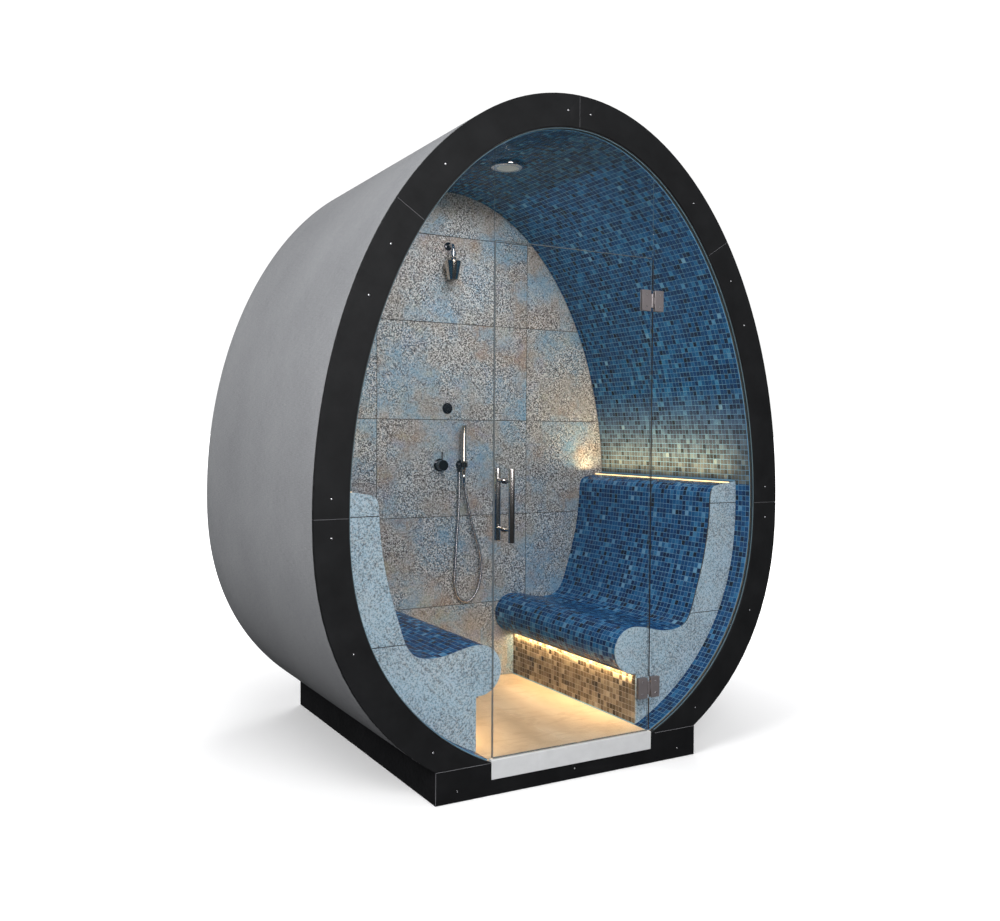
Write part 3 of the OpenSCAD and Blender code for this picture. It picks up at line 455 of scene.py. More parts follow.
M = {
    "ring": black_composite("ring_composite", (0.0105, 0.0108, 0.0116), 0.5),
    "panel": black_composite("plinth_laminate", (0.0085, 0.0087, 0.0095), 0.5),
    # painted highlight for the plinth's front edges
    "edge": plain("edge_painted_highlight", (0.32, 0.32, 0.34), 0.5, 500),
    "seam": plain("seam_filler", (0.13, 0.13, 0.14), 0.6, 500),
    "shell": woven_shell(),
    # blue chips: their colour holds a painted warm glow just above the ledges
    "blue": glazed_chips("blue_chips", (
        (0.05, (0.002, 0.006, 0.022)), (0.22, (0.002, 0.016, 0.070)), (0.40, (0.003, 0.044, 0.155)),
        (0.58, (0.008, 0.092, 0.255)), (0.76, (0.036, 0.19, 0.39)), (0.95, (0.17, 0.38, 0.58))), True),
    "brown": glazed_chips("bronze_chips", (
        (0.06, (0.035, 0.025, 0.016)), (0.3, (0.11, 0.08, 0.05)), (0.5, (0.21, 0.16, 0.105)),
        (0.7, (0.33, 0.27, 0.19)), (0.95, (0.5, 0.44, 0.34)))),
    "grout_blue": grout("grout_blue", (0.15, 0.34, 0.52)),
    "grout_warm": grout("grout_warm", (0.42, 0.37, 0.30)),
    "grout_grey": grout("grout_grey", (0.05, 0.048, 0.046)),
    "carpet": carpet_tile("carpet_tile", 0.035),
    "carpet_cool": carpet_tile("carpet_tile_cool", 0.18, 0.6),
    "stone": stone_floor(),
    "glass": clear_glass("pane_glass", (0.10, 0.16, 0.20), 0.02, 0.5),
    # the pane edge's blue tint, lightened into a painted highlight
    "glass_edge": plain("glass_edge_painted_highlight", (0.14, 0.22, 0.26), 0.15, 500),
    "gasket": plain("gasket_rubber", (0.012, 0.012, 0.013), 0.5, 700),
    "seal": clear_glass("seal_strip", (0.16, 0.18, 0.19), 0.55, 0.9),
    "hinge": metal("hinge_plate", (0.25, 0.225, 0.23), 0.42, (20, 20, 700), 0.55),
    "barrel": metal("hinge_barrel", (0.66, 0.65, 0.66), 0.25, (700, 700, 30)),
    "handle": metal("handle_chrome", (0.62, 0.58, 0.56), 0.16),
    "threshold": metal("threshold_satin", (0.78, 0.79, 0.80), 0.46, (40, 900, 900), 0.2),
    "steel": metal("brushed_steel", (0.58, 0.58, 0.59), 0.3, (30, 600, 600)),
    "dark_chrome": metal("dark_chrome", (0.085, 0.085, 0.092), 0.13),
    "chrome": metal("bright_chrome", (0.74, 0.74, 0.76), 0.07),
    "bronze": metal("bronze_chrome", (0.68, 0.59, 0.50), 0.12),
    "hose": metal("wound_hose", (0.42, 0.41, 0.42), 0.2),
    "brass": metal("brass", (0.62, 0.43, 0.16), 0.25),
    "screw": metal("screw_steel", (0.6, 0.6, 0.62), 0.25),
    "frame_paint": plain("frame_paint", (0.022, 0.022, 0.024), 0.5, 400, 0.3),
    "tray": plain("tray_grp", (0.62, 0.62, 0.6), 0.35, 60),
    "pipe": plain("grey_pipe", (0.22, 0.22, 0.24), 0.4, 500),
    "board": plain("cement_board", (0.36, 0.36, 0.35), 0.85, 200, 0.4),
    "foam": plain("insulation_foam", (0.72, 0.62, 0.30), 0.85, 350, 0.5),
    "core": plain("bench_skin", (0.40, 0.41, 0.41), 0.85, 150, 0.4),
    "ply": plywood(),
    "cover": plain("cover_paint", (0.13, 0.133, 0.14), 0.45, 260, 0.35, 0.06),
    "gland": plain("gland_nylon", (0.02, 0.02, 0.02), 0.45, 500),
    "led": glow("led_warm", (1.0, 0.70, 0.34), 1.9),
    "channel": plain("led_channel", (0.32, 0.31, 0.30), 0.5, 500),
    "lens": glow("ceiling_lens", (0.42, 0.50, 0.56), 0.1),
}


# ------------------------------------------------------------------ mesh helpers
def add(name, verts, faces, mat, body="cabin", slot=None, replaces=(), bevel=0.0, segments=2, angle=30):
    """A piece from vertices and faces, riding on a body. Faces at less than angle degrees are smooth."""
    mesh = bpy.data.meshes.new(name)
    mesh.from_pydata([tuple(v) for v in verts], [], [tuple(f) for f in faces])
    mesh.validate()
    return finish_piece(name, mesh, mat, body, replaces, bevel, segments, angle)


def finish_piece(name, mesh, mat, body, replaces, bevel, segments, angle):
    bm = bmesh.new()
    bm.from_mesh(mesh)
    bmesh.ops.recalc_face_normals(bm, faces=bm.faces)
    bm.to_mesh(mesh)
    bm.free()
    mesh.materials.append(M[mat])
    for p in mesh.polygons:
        p.use_smooth = True
    mesh.set_sharp_from_angle(angle=math.radians(angle))
    o = bpy.data.objects.new(name, mesh)
    bpy.context.collection.objects.link(o)
    if bevel:
        m = o.modifiers.new("bevel", "BEVEL")
        m.width = bevel
        m.segments = segments
        m.limit_method = "ANGLE"
        m.angle_limit = math.radians(35)
        m.harden_normals = False
    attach(o, body)
    if replaces:
        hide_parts(*replaces)
    return o


def join(*parts):
    """Several (verts, faces) as one."""
    verts, faces = [], []
    for v, f in parts:
        shift = len(verts)
        verts += [tuple(p) for p in v]
        faces += [tuple(i + shift for i in face) for face in f]
    return verts, faces


def slab(outline, y0, y1):
    """A closed XZ outline made solid between two depths."""
    n = len(outline)
    verts = [(x, y0, z) for x, z in outline] + [(x, y1, z) for x, z in outline]
    faces = [tuple(range(n)), tuple(range(2 * n - 1, n - 1, -1))]
    faces += [(i, (i + 1) % n, n + (i + 1) % n, n + i) for i in range(n)]
    return verts, faces


def block(a, b):
    return slab([(a[0], a[2]), (b[0], a[2]), (b[0], b[2]), (a[0], b[2])], a[1], b[1])


def turn(profile, at, axis="z", n=40, closed=False):
    """A profile of (radius, height) turned about an axis through a point. Open ends at radius 0 close."""
    basis = {"z": ((1, 0, 0), (0, 1, 0), (0, 0, 1)), "y": ((1, 0, 0), (0, 0, -1), (0, 1, 0)),
             "x": ((0, 1, 0), (0, 0, 1), (1, 0, 0))}[axis]
    u, v, w = (np.array(b, float) for b in basis)
    verts, rings = [], []
    for r, h in profile:
        if r < 1e-9:
            rings.append([len(verts)])
            verts.append(tuple(np.array(at) + h * w))
            continue
        rings.append(list(range(len(verts), len(verts) + n)))
        for k in range(n):
            a = 2 * math.pi * k / n
            verts.append(tuple(np.array(at) + r * math.cos(a) * u + r * math.sin(a) * v + h * w))
    faces = []
    pairs = list(zip(rings, rings[1:])) + ([(rings[-1], rings[0])] if closed else [])
    for a, b in pairs:
        for k in range(n):
            m = (k + 1) % n
            if len(a) == 1 and len(b) == 1:
                continue
            if len(a) == 1:
                faces.append((a[0], b[m], b[k]))
            elif len(b) == 1:
                faces.append((a[k], a[m], b[0]))
            else:
                faces.append((a[k], a[m], b[m], b[k]))
    return verts, faces


def rounded(r, h0, h1, edge=0.001, steps=3, r_top=None):
    """Profile of a solid rod with rounded rims, from h0 to h1; r_top gives a cone."""
    r_top = r if r_top is None else r_top
    arc = [math.pi / 2 * i / steps for i in range(steps + 1)]
    low_rim = [(r - edge + edge * math.sin(a), h0 + edge - edge * math.cos(a)) for a in arc]
    top_rim = [(r_top - edge + edge * math.cos(a), h1 - edge + edge * math.sin(a)) for a in arc]
    return [(0, h0)] + low_rim + top_rim + [(0, h1)]


def tube(path, radius, n=16):
    """A round tube along 3-D points; radius may be a function of the point's number."""
    p = [Vector(q) for q in path]
    verts, faces = [], []
    side = None
    for i, q in enumerate(p):
        d = (p[min(i + 1, len(p) - 1)] - p[max(i - 1, 0)]).normalized()
        side = d.orthogonal().normalized() if side is None else (side - d * side.dot(d)).normalized()
        other = d.cross(side)
        r = radius(i) if callable(radius) else radius
        for k in range(n):
            a = 2 * math.pi * k / n
            verts.append(tuple(q + side * (r * math.cos(a)) + other * (r * math.sin(a))))
    for i in range(len(p) - 1):
        for k in range(n):
            m = (k + 1) % n
            faces.append((i * n + k, i * n + m, (i + 1) * n + m, (i + 1) * n + k))
    faces.append(tuple(range(n - 1, -1, -1)))
    faces.append(tuple(range((len(p) - 1) * n, len(p) * n)))
    return verts, faces


def refined(node, mat, bevel, segments=2, angle=30):
    """A bevelled stand-in with the CAD node's own shape."""
    bm = bmesh.new()
    bm.from_mesh(frame["nodes"][node].data)
    bmesh.ops.remove_doubles(bm, verts=bm.verts, dist=1e-6)
    bmesh.ops.dissolve_limit(bm, angle_limit=math.radians(0.5), verts=bm.verts, edges=bm.edges)
    mesh = bpy.data.meshes.new(node + "_finished")
    bm.to_mesh(mesh)
    bm.free()
    return finish_piece(node + "_finished", mesh, mat, body_of(node), (node,), bevel, segments,
                        angle)


def body_of(node):
    return next(b for b, nodes in frame["record"]["behaviour"]["bodies"].items() if node in nodes)


def slot_of(node):
    return next(s["material_slot"] for s in frame["record"]["subparts"] if s["node"] == node)


def paint(node, mat):
    """Gives a CAD node that stays a material of this script."""
    o = frame["nodes"][node]
    if not o.material_slots:
        o.data.materials.append(M[mat])
    for s in o.material_slots:
        s.material = M[mat]


def mirrored(verts, faces):
    return [(-x, y, z) for x, y, z in verts], [tuple(reversed(f)) for f in faces]


# ------------------------------------------------------------------ shower hose (free hose, made first)
HOSE_R = 0.0068
HOSE_ROUTE = [(x / 1000, y / 1000, z / 1000) for x, y, z in (
    (61, 365, 1235), (61, 365, 1210), (61, 364, 1160), (60, 363, 1100), (57, 362, 1030), (52, 362, 960),
    (47, 362, 880), (42, 362, 800), (37, 362, 720), (36, 362, 660), (43, 361, 610), (62, 360, 574),
    (90, 359, 557), (120, 357, 560), (150, 356, 585), (172, 354, 630), (184, 352, 690), (185, 350, 760),
    (168, 348, 840), (144, 346, 910), (122, 344, 980), (104, 342, 1050), (90, 341, 1120), (79, 340, 1180),
    (75, 340, 1205), (75, 340, 1221))]


def catmull(points, parts):
    line = []
    for i in range(len(points) - 1):
        a, b = np.array(points[max(i - 1, 0)]), np.array(points[i])
        c, d = np.array(points[i + 1]), np.array(points[min(i + 2, len(points) - 1)])
        for k in range(parts):
            u = k / parts
            square, cube = 2 * a - 5 * b + 4 * c - d, 3 * b - a - 3 * c + d
            line.append(0.5 * (2 * b + (c - a) * u + square * u * u + cube * u ** 3))
    line.append(np.array(points[-1]))
    return line


def make_hose():
    smooth = catmull(HOSE_ROUTE, 8)
    fine = resample(smooth, 0.00125)
    groove = (0.0, 0.35, 1.0, 0.35)
    o = add("shower_hose_wound", *tube(fine, lambda i: HOSE_R + 0.0002 - 0.0007 * groove[i % 4], 14), "hose",
            slot="hose_steel", replaces=("shower_hose",), angle=80)


make_hose()


# ------------------------------------------------------------------ front ring
SEAM_GAP = 0.0016
SEAMS = [0.0, math.radians(44.2), math.pi / 2]


def make_ring():
    for side in ("right", "left"):
        for part in ("lower", "middle", "upper"):
            node = "ring_%s_%s" % (part, side)
            refined(node, "ring", 0.0014, segments=3, angle=24).name = node + "_bevelled"
    # light filler seen down the seams
    fill = []
    for t in SEAMS:
        for s in ((1, -1) if t < math.pi / 2 else (1,)):
            a, b = egg_at(t, 0.0016), egg_at(t, RING_W - 0.0016)
            d = Vector((a[0] - b[0], a[1] - b[1])).normalized()
            n = Vector((-d.y, d.x)) * (SEAM_GAP / 2 - 0.0001)
            outline = [(p[0] + w * n.x, p[1] + w * n.y) for p, w in ((a, 1), (b, 1), (b, -1), (a, -1))]
            fill.append(slab([(s * x, z) for x, z in outline], FRONT + 0.0006, RING_BACK - 0.001))
    add("ring_seam_filler", *join(*fill), "seam", slot="black_composite")


SCREW_TURNS = (-52.5, -23.3, -2.3, 2.5, 29.6, 37.8, 54.3, 86.9)     # degrees round the ring, on both sides
PANEL_SCREW_Z = 0.043
PANEL_SCREW_IN = 0.096      # from the front panel's end to its screw


def screw_places():
    on_ring = [egg_at(math.radians(t), RING_W / 2) for t in SCREW_TURNS]
    base = high("base_front_panel")[0] - PANEL_SCREW_IN
    return [(s * x, z) for x, z in on_ring for s in (1, -1)] + [(x, PANEL_SCREW_Z) for x in (-base, 0, base)]


def make_screws():
    """Button heads with a round socket, sunk in their holes."""
    head = [(0, 0.0017), (0.0017, 0.0017), (0.0018, 0.0004), (0.0021, 0.0), (0.0034, 0.0002),
            (0.0044, 0.0008),
            (0.0048, 0.0016), (0.0048, 0.003), (0.0024, 0.0032), (0.0024, 0.0088), (0, 0.0088)]
    heads = [turn(head, (x, FRONT + 0.0004, z), "y", 18) for x, z in screw_places()]
    add("countersunk_screws", *join(*heads), "screw", slot="screw_steel", replaces=("frame_screws",),
        angle=40)


# ------------------------------------------------------------------ outer shell
def make_shell():
    """Skin of the body: one curved sheet with a rolled rear rim and a turned-in front edge."""
    thick, rim = 0.015, 0.011
    front = RING_BACK + 0.0005
    quarter = [math.pi / 2 * i / 5 for i in range(6)]
    section = [(thick, front), (0.0012, front), (0.0, front + 0.0012)]
    section += [(0.0, front + (REAR - rim - front) * i / 24) for i in range(1, 25)]
    section += [(rim - rim * math.cos(a), REAR - rim + rim * math.sin(a)) for a in quarter[1:]]
    section += [(thick, REAR), (thick, REAR - 0.01), (thick, front)]
    t0 = foot_angle(0.0, BASE_H)
    steps = 260
    verts, faces, uv = [], [], []
    line0 = egg_line(0.0, BASE_H, steps)
    run = np.concatenate([[0], np.cumsum([math.dist(a, b) for a, b in zip(line0, line0[1:])])])
    m = len(section) - 1
    for i in range(steps + 1):
        t = t0 + (math.pi - 2 * t0) * i / steps
        for inset, y in section[:-1]:
            x, z = egg_at(t, inset)
            verts.append((x, y, max(z, BASE_H)))
            uv.append((run[i], y))
    for i in range(steps):
        for k in range(m):
            n = (k + 1) % m
            faces.append((i * m + k, i * m + n, (i + 1) * m + n, (i + 1) * m + k))
    faces.append(tuple(range(m)))
    faces.append(tuple(range((steps + 1) * m - 1, steps * m - 1, -1)))
    o = add("outer_skin", verts, faces, "shell", slot="shell", replaces=("outer_shell",), angle=40)
    layer = o.data.uv_layers.new(name="map")
    flat = np.empty(len(o.data.loops) * 2)
    index = np.empty(len(o.data.loops), int)
    o.data.loops.foreach_get("vertex_index", index)
    flat[0::2] = np.array(uv)[index, 0]
    flat[1::2] = np.array(uv)[index, 1]
    layer.data.foreach_set("uv", flat)


# ------------------------------------------------------------------ mosaic
def chips(name, path, y0, y1, rise_side, mat, bed_mat, slot, replaces=(), keep=None, tone=(0.5, 0.2),
          mirror=False):
    """Glazed chips on a path in the XZ plane, swept along Y. rise_side turns the path's direction into the
    side that the chips stand on, and the path is the chips' face. A grout bed lies behind them."""
    p = resample(path, CHIP_PITCH)
    rows = max(1, round((y1 - y0) / CHIP_PITCH))
    ys = np.linspace(y0, y1, rows + 1)
    n = len(p)
    d = np.gradient(p, axis=0)
    d /= np.linalg.norm(d, axis=1)[:, None]
    normal = np.stack([-d[:, 1], d[:, 0]], axis=1) * rise_side
    # chips
    verts, faces, tones = [], [], []
    half = CHIP_GAP / 2
    for i in range(n - 1):
        a, b = p[i], p[i + 1]
        along = (b - a) / np.linalg.norm(b - a)
        up = (normal[i] + normal[i + 1]) / 2
        up /= np.linalg.norm(up)
        for j in range(rows):
            ya, yb = ys[j], ys[j + 1]
            mid = (a + b) / 2
            if keep and not keep(mid[0], (ya + yb) / 2, mid[1]):
                continue
            wob = draw.normal(0, 0.00028, 6)
            base = len(verts)
            for lift, cut in ((-CHIP_RISE, half), (-0.0007, half), (0.0, half + 0.0009)):
                for k, (end, s, y) in enumerate(((a, 1, ya), (b, -1, ya), (b, -1, yb), (a, 1, yb))):
                    sy = 1 if y == ya else -1
                    tilt = wob[k] if lift == 0.0 else 0.0
                    slide = wob[4] * 0.8
                    q = end + along * (s * cut + slide) + up * (lift + min(tilt, 0.0004))
                    verts.append((q[0], y + sy * cut + wob[5] * 0.8, q[1]))
            v = draw.normal(tone[0], tone[1])
            for r in (0, 4):
                for k in range(4):
                    m = (k + 1) % 4
                    faces.append((base + r + k, base + r + m, base + r + 4 + m, base + r + 4 + k))
            faces.append((base + 8, base + 9, base + 10, base + 11))
            tones += [min(max(v, 0.0), 1.0)] * 9
    if mirror:
        verts, faces = mirrored(verts, faces)
    o = add(name, verts, faces, mat, slot=slot, replaces=replaces, angle=25)
    layer = o.data.attributes.new("tone", "FLOAT", "FACE")
    layer.data.foreach_set("value", np.array(tones[:len(o.data.polygons)], float))
    # bed: a sheet just behind the chips' feet
    skin = 0.0009
    top = p - normal * (skin + 0.0002)
    back = p - normal * (CHIP_RISE + 0.003)
    bed = [(q[0], y, q[1]) for q in top for y in (y0, y1)] + [(q[0], y, q[1]) for q in back for y in (y0, y1)]
    k = 2 * n
    sheet = []
    for i in range(n - 1):
        sheet.append((2 * i, 2 * i + 1, 2 * i + 3, 2 * i + 2))
        sheet.append((k + 2 * i, k + 2 * i + 2, k + 2 * i + 3, k + 2 * i + 1))
        sheet.append((2 * i, 2 * i + 2, k + 2 * i + 2, k + 2 * i))
        sheet.append((2 * i + 1, k + 2 * i + 1, k + 2 * i + 3, 2 * i + 3))
    sheet.append((0, k, k + 1, 1))
    sheet.append((2 * n - 2, 2 * n - 1, k + 2 * n - 1, k + 2 * n - 2))
    if mirror:
        bed, sheet = mirrored(bed, sheet)
    add(name + "_grout", bed, sheet, bed_mat, slot=slot, angle=30)
    return o


def cubic(a, b, c, d, n):
    a, b, c, d = (np.array(v) for v in (a, b, c, d))
    return [tuple((1 - u) ** 3 * a + 3 * u * (1 - u) ** 2 * b + 3 * u * u * (1 - u) * c + u ** 3 * d)
            for u in (i / n for i in range(n + 1))]


# bench profile, as the frame has it
NOSE_R = 0.104
RECLINE = 0.097
LEDGE_SLOPE = 0.16
AISLE = -low("skirt_mosaic")[0] - TILE_T
SEAT_Z = FLOOR_Z + 0.44
NOSE_X = AISLE - 0.012
NOSE_Z = SEAT_Z - NOSE_R
EGG_AT_LEDGE = HALF_W * math.sqrt(1 - ((LEDGE_Z - MID_Z) / RISE) ** 2)
BACK_X = EGG_AT_LEDGE - VAULT_INSET - 0.155
FOOT_X = BACK_X - RECLINE
RUN = FOOT_X - NOSE_X
DIP_Z = SEAT_Z - 0.032
LIGHT_HALF_W = 0.008
LIGHT_X = -low("backrest_lights")[0] - LIGHT_HALF_W       # middle of the strip on the ledge


def bench_line():
    nose = [(NOSE_X + NOSE_R * math.cos(math.radians(a)), NOSE_Z + NOSE_R * math.sin(math.radians(a)))
            for a in range(270, 86, -6)]
    seat = cubic((NOSE_X, SEAT_Z), (NOSE_X + RUN * 0.22, SEAT_Z), (NOSE_X + RUN * 0.37, DIP_Z - 0.002),
                 (NOSE_X + RUN * 0.6, DIP_Z), 16)
    foot = cubic((NOSE_X + RUN * 0.6, DIP_Z), (NOSE_X + RUN * 0.87, DIP_Z),
                 (FOOT_X - RUN * 0.07, DIP_Z + 0.04),
                 (FOOT_X, DIP_Z + 0.11), 16)
    back = cubic((FOOT_X, DIP_Z + 0.11), (FOOT_X + RECLINE * 0.31, DIP_Z + 0.215),
                 (BACK_X - RECLINE * 0.07, DIP_Z + 0.355), (BACK_X, LEDGE_Z - 0.066), 16)
    lip = cubic((BACK_X, LEDGE_Z - 0.066), (BACK_X + 0.001, LEDGE_Z - 0.02),
                (BACK_X + 0.013, LEDGE_Z - 0.005),
                (BACK_X + 0.048, LEDGE_Z), 10)
    line = [(AISLE, NOSE_Z - NOSE_R)] + nose[1:] + seat[1:] + foot[1:] + back[1:] + lip[1:]
    run_out = LIGHT_X - 0.01 - line[-1][0]
    return line + [(line[-1][0] + run_out, line[-1][1] + run_out * LEDGE_SLOPE)]


def make_vault():
    inner = egg_line(VAULT_INSET, FLOOR_Z + 0.002, 500)
    hide_z = LEDGE_Z + 0.02

    def seen(x, y, z):
        return z > hide_z or y < CHEEK_Y + 0.012

    chips("vault_chips", inner, RING_BACK + 0.004, WALL_Y - 0.0008, 1, "blue", "grout_blue", "mosaic",
          ("vault_lining",), seen, (0.40, 0.17))


def make_benches():
    line = bench_line()
    y0, y1 = CHEEK_Y + TILE_T + 0.0008, WALL_Y - 0.0012
    for side, flip in (("right", False), ("left", True)):
        chips("bench_chips_" + side, line, y0, y1, 1, "blue", "grout_blue", "mosaic",
              ("bench_mosaic_" + side,), None, (0.46, 0.19), flip)
        skirt = [(AISLE, FLOOR_Z + 0.002), (AISLE, NOSE_Z - NOSE_R - 0.004)]
        chips("skirt_chips_" + side, skirt, y0, y1, 1, "brown", "grout_warm", "warm_mosaic",
              ("skirt_mosaic",) if side == "right" else (), None, (0.45, 0.2), flip)
        rear = [(LIGHT_X + 0.01, LEDGE_Z + (LIGHT_X + 0.01 - BACK_X - 0.048) * LEDGE_SLOPE)]
        end_x = LIGHT_X + 0.036
        rear.append((end_x, LEDGE_Z + (end_x - BACK_X - 0.048) * LEDGE_SLOPE))
        chips("ledge_chips_" + side, rear, y0, y1, 1, "blue", "grout_blue", "mosaic", (), None, (0.4, 0.17),
              flip)
        paint("bench_core_" + side, "core")


# ------------------------------------------------------------------ large tiles
def clip(outline, axis, limit, keep_above):
    """Cuts a closed outline with a line along an axis."""
    out = []
    for p, q in zip(outline, outline[1:] + outline[:1]):
        inside_p = (p[axis] > limit) == keep_above
        inside_q = (q[axis] > limit) == keep_above
        if inside_p:
            out.append(p)
        if inside_p != inside_q:
            u = (limit - p[axis]) / (q[axis] - p[axis])
            out.append((p[0] + u * (q[0] - p[0]), p[1] + u * (q[1] - p[1])))
    return out


def tiled(name, outline, xs, zs, y0, y1, mat, slot, replaces, joint=0.0036):
    """An outline cut into slabs along grid lines, with an offset for each slab's print."""
    parts, owner = [], []
    for x0, x1 in zip(xs, xs[1:]):
        for z0, z1 in zip(zs, zs[1:]):
            cell = list(outline)
            for axis, limit, above in ((0, x0 + joint / 2, True), (0, x1 - joint / 2, False),
                                       (1, z0 + joint / 2, True), (1, z1 - joint / 2, False)):
                if cell:
                    cell = clip(cell, axis, limit, above)
            clean = [c for i, c in enumerate(cell) if math.dist(c, cell[i - 1]) > 1e-5]
            if len(clean) < 3:
                continue
            part = slab(clean, y0, y1)
            parts.append(part)
            owner.append(len(part[1]))
    o = add(name, *join(*parts), mat, slot=slot, replaces=replaces, bevel=0.0006, segments=1)
    layer = o.data.attributes.new("shift", "FLOAT_VECTOR", "FACE")
    values = []
    for count in owner:
        step = draw.integers(0, 40, 3) * 0.092
        values += [(step[0], 0.0, step[2])] * count
    layer.data.foreach_set("vector", np.array(values, float).ravel()[:3 * len(o.data.polygons)])
    return o


# joints of the large tiles; the outermost ones lie outside the outline
WALL_JOINTS_X = (-1.39, -0.392, 0.48, 1.48)
WALL_JOINTS_Z = (0.0, 0.538, 1.004, 1.506, 2.005, 2.452, 3.0)
CHEEK_JOINTS_X = (-2.0, 3.0)
CHEEK_JOINTS_Z = (0.0, 0.612, 1.117, 2.0)
FLOOR_JOINTS_Y = (-0.30, 0.185)
FLOOR_SLAB_T = 0.009


def make_tiles():
    wall = egg_line(VAULT_INSET + 0.0006, FLOOR_Z + 0.0005, 240)
    tiled("wall_tiles", wall, WALL_JOINTS_X, WALL_JOINTS_Z, WALL_Y, high("back_wall_tiles")[1] - 0.0006,
          "carpet", "pattern_tile",
          ("back_wall_tiles",))
    bed = egg_line(VAULT_INSET + 0.002, FLOOR_Z + 0.0005, 200)
    add("wall_grout", *slab(bed, WALL_Y + 0.0016, high("back_wall_tiles")[1] - 0.0002), "grout_grey",
        slot="pattern_tile")
    # cheeks: the bench ends, closed by the vault's curve
    line = bench_line()
    vault = [p for p in egg_line(VAULT_INSET + 0.0008, FLOOR_Z + 0.0006, 700) if p[0] > 0]
    top = line[-1]
    reach = min(vault, key=lambda p: abs(p[1] - (top[1] + (p[0] - top[0]) * LEDGE_SLOPE)))
    curve = sorted([p for p in vault if p[1] <= reach[1] and p[0] > AISLE + 0.001], key=lambda p: -p[1])
    outline = [(AISLE, curve[-1][1])] + line + curve
    for side, s in (("right", 1), ("left", -1)):
        shape = [(s * x, z) for x, z in outline]
        tiled("cheek_slabs_" + side, shape, CHEEK_JOINTS_X, CHEEK_JOINTS_Z, CHEEK_Y,
              CHEEK_Y + TILE_T - 0.0006,
              "carpet_cool", "pattern_tile", ("cheek_tiles_" + side,))
        add("cheek_grout_" + side, *slab([(s * (0.002 + x * 0.996), 0.0008 + z * 0.998) for x, z in outline],
                                        CHEEK_Y + 0.002, CHEEK_Y + TILE_T - 0.0002), "grout_grey",
                                        slot="pattern_tile")
    # floor
    x1, half = high("floor_tiles")[0], 0.0008
    edges = (low("floor_tiles")[1], *FLOOR_JOINTS_Y, WALL_Y)
    slabs = [block((xa + half, ya + half, FLOOR_Z - FLOOR_SLAB_T), (xb - half, yb - half, FLOOR_Z))
             for ya, yb in zip(edges, edges[1:]) for xa, xb in ((-x1, 0.0), (0.0, x1))]
    add("floor_slabs", *join(*slabs), "stone", slot="floor_stone", replaces=("floor_tiles",), bevel=0.0008)


# ------------------------------------------------------------------ lights
def make_lights():
    lo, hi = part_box("backrest_lights")
    half = LIGHT_HALF_W - 0.0005
    strips = [block((s * LIGHT_X - half, lo[1], lo[2]),
                    (s * LIGHT_X + half, hi[1], hi[2] - 0.0002)) for s in (1, -1)]
    add("backrest_light_strips", *join(*strips), "led", slot="warm_light", replaces=("backrest_lights",),
        bevel=0.002)
    lamps = refined("seat_lights", "channel", 0.0012)
    lamps.data.materials.append(M["led"])
    for p in lamps.data.polygons:
        p.material_index = 1 if p.normal.z < -0.5 else 0
    # ceiling lamp: bright rim and an opal lens
    lo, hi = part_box("ceiling_light")
    cx, cy = (lo[0] + hi[0]) / 2, (lo[1] + hi[1]) / 2
    r = (hi[0] - lo[0]) / 2
    rim = [(r - 0.026, 0.004), (r - 0.026, 0.0012), (r - 0.022, 0.0), (r - 0.006, 0.0012),
           (r - 0.0015, 0.004),
           (r, 0.009), (r, 0.014), (0.03, 0.014), (0.03, 0.06), (0, 0.06)]
    add("ceiling_light_rim", *turn(rim, (cx, cy, lo[2]), "z", 64), "chrome", slot="steel_grate",
        replaces=("ceiling_light",),
        angle=35)
    lens = [(0, 0.0005), (r * 0.4, 0.0008), (r - 0.03, 0.0026), (r - 0.0262, 0.0045), (0, 0.006)]
    add("ceiling_light_lens", *turn(lens, (cx, cy, lo[2]), "z", 64), "lens", slot="ceiling_lens", angle=35)


# ------------------------------------------------------------------ glazing
def make_glazing():
    for node in ("side_glass_left", "side_glass_right", "transom_glass", "door_glass"):
        refined(node, "glass", 0.0009, segments=1, angle=20)
    refined("glazing_gasket", "gasket", 0.0006, segments=1)
    refined("door_seals", "seal", 0.0004, segments=1)
    # polished edge between gasket and pane: an opaque bead in the glass's blue tint, made pale as a painted
    # highlight
    inset = RING_W + 0.0056
    y0, y1 = FRONT + 0.0054, FRONT + 0.0074
    outer = egg_line(inset - 0.0004, BASE_H + 0.012, 300)
    inner = egg_line(inset + 0.0016, BASE_H + 0.012, 300)
    n = len(outer)
    verts = [(x, y, z) for row in (outer, inner) for y in (y0, y1) for x, z in row]
    rows = [(0, 1), (1, 3), (3, 2), (2, 0)]
    faces = [(a * n + i, b * n + i, b * n + i + 1, a * n + i + 1) for a, b in rows for i in range(n - 1)]
    faces += [(0, n, 3 * n, 2 * n), (n - 1, 3 * n - 1, 4 * n - 1, 2 * n - 1)]
    add("pane_edge_painted_highlight", verts, faces, "glass_edge", slot="glass", angle=40)


HINGE_H = 0.090


def make_hinges():
    """Clamp plates in front of and behind the glass, with a pin barrel between the leaves."""
    refined("hinge_fixed_leaves", "hinge", 0.0011, segments=3)
    refined("hinge_door_leaves", "hinge", 0.0011, segments=3)
    refined("hinge_pins", "barrel", 0.0008, angle=40)
    x_joint = (low("hinge_pins")[0] + high("hinge_pins")[0]) / 2
    y_front = low("hinge_fixed_leaves")[1] - 0.0008
    mids = (low("hinge_fixed_leaves")[2] + HINGE_H / 2, high("hinge_fixed_leaves")[2] - HINGE_H / 2)
    cap = [(0, 0.0012), (0.0022, 0.0012), (0.0024, 0.0), (0.0044, 0.0), (0.005, 0.0006), (0.005, 0.0016),
           (0, 0.0016)]
    for body, s in (("cabin", 1), ("door", -1)):
        caps = [turn(cap, (x_joint + s * 0.036, y_front, z + dz), "y", 24) for z in mids for dz in (-0.026,
                                                                                                    0.026)]
        add("hinge_caps_" + body, *join(*caps), "barrel", body=body, slot="brushed", angle=40)


HANDLE_R = 0.0125
HANDLE_X = -0.34
POST_OFF = 0.096        # from the handle's middle to each post
GLASS_Y = FRONT + 0.006       # front face of the door glass


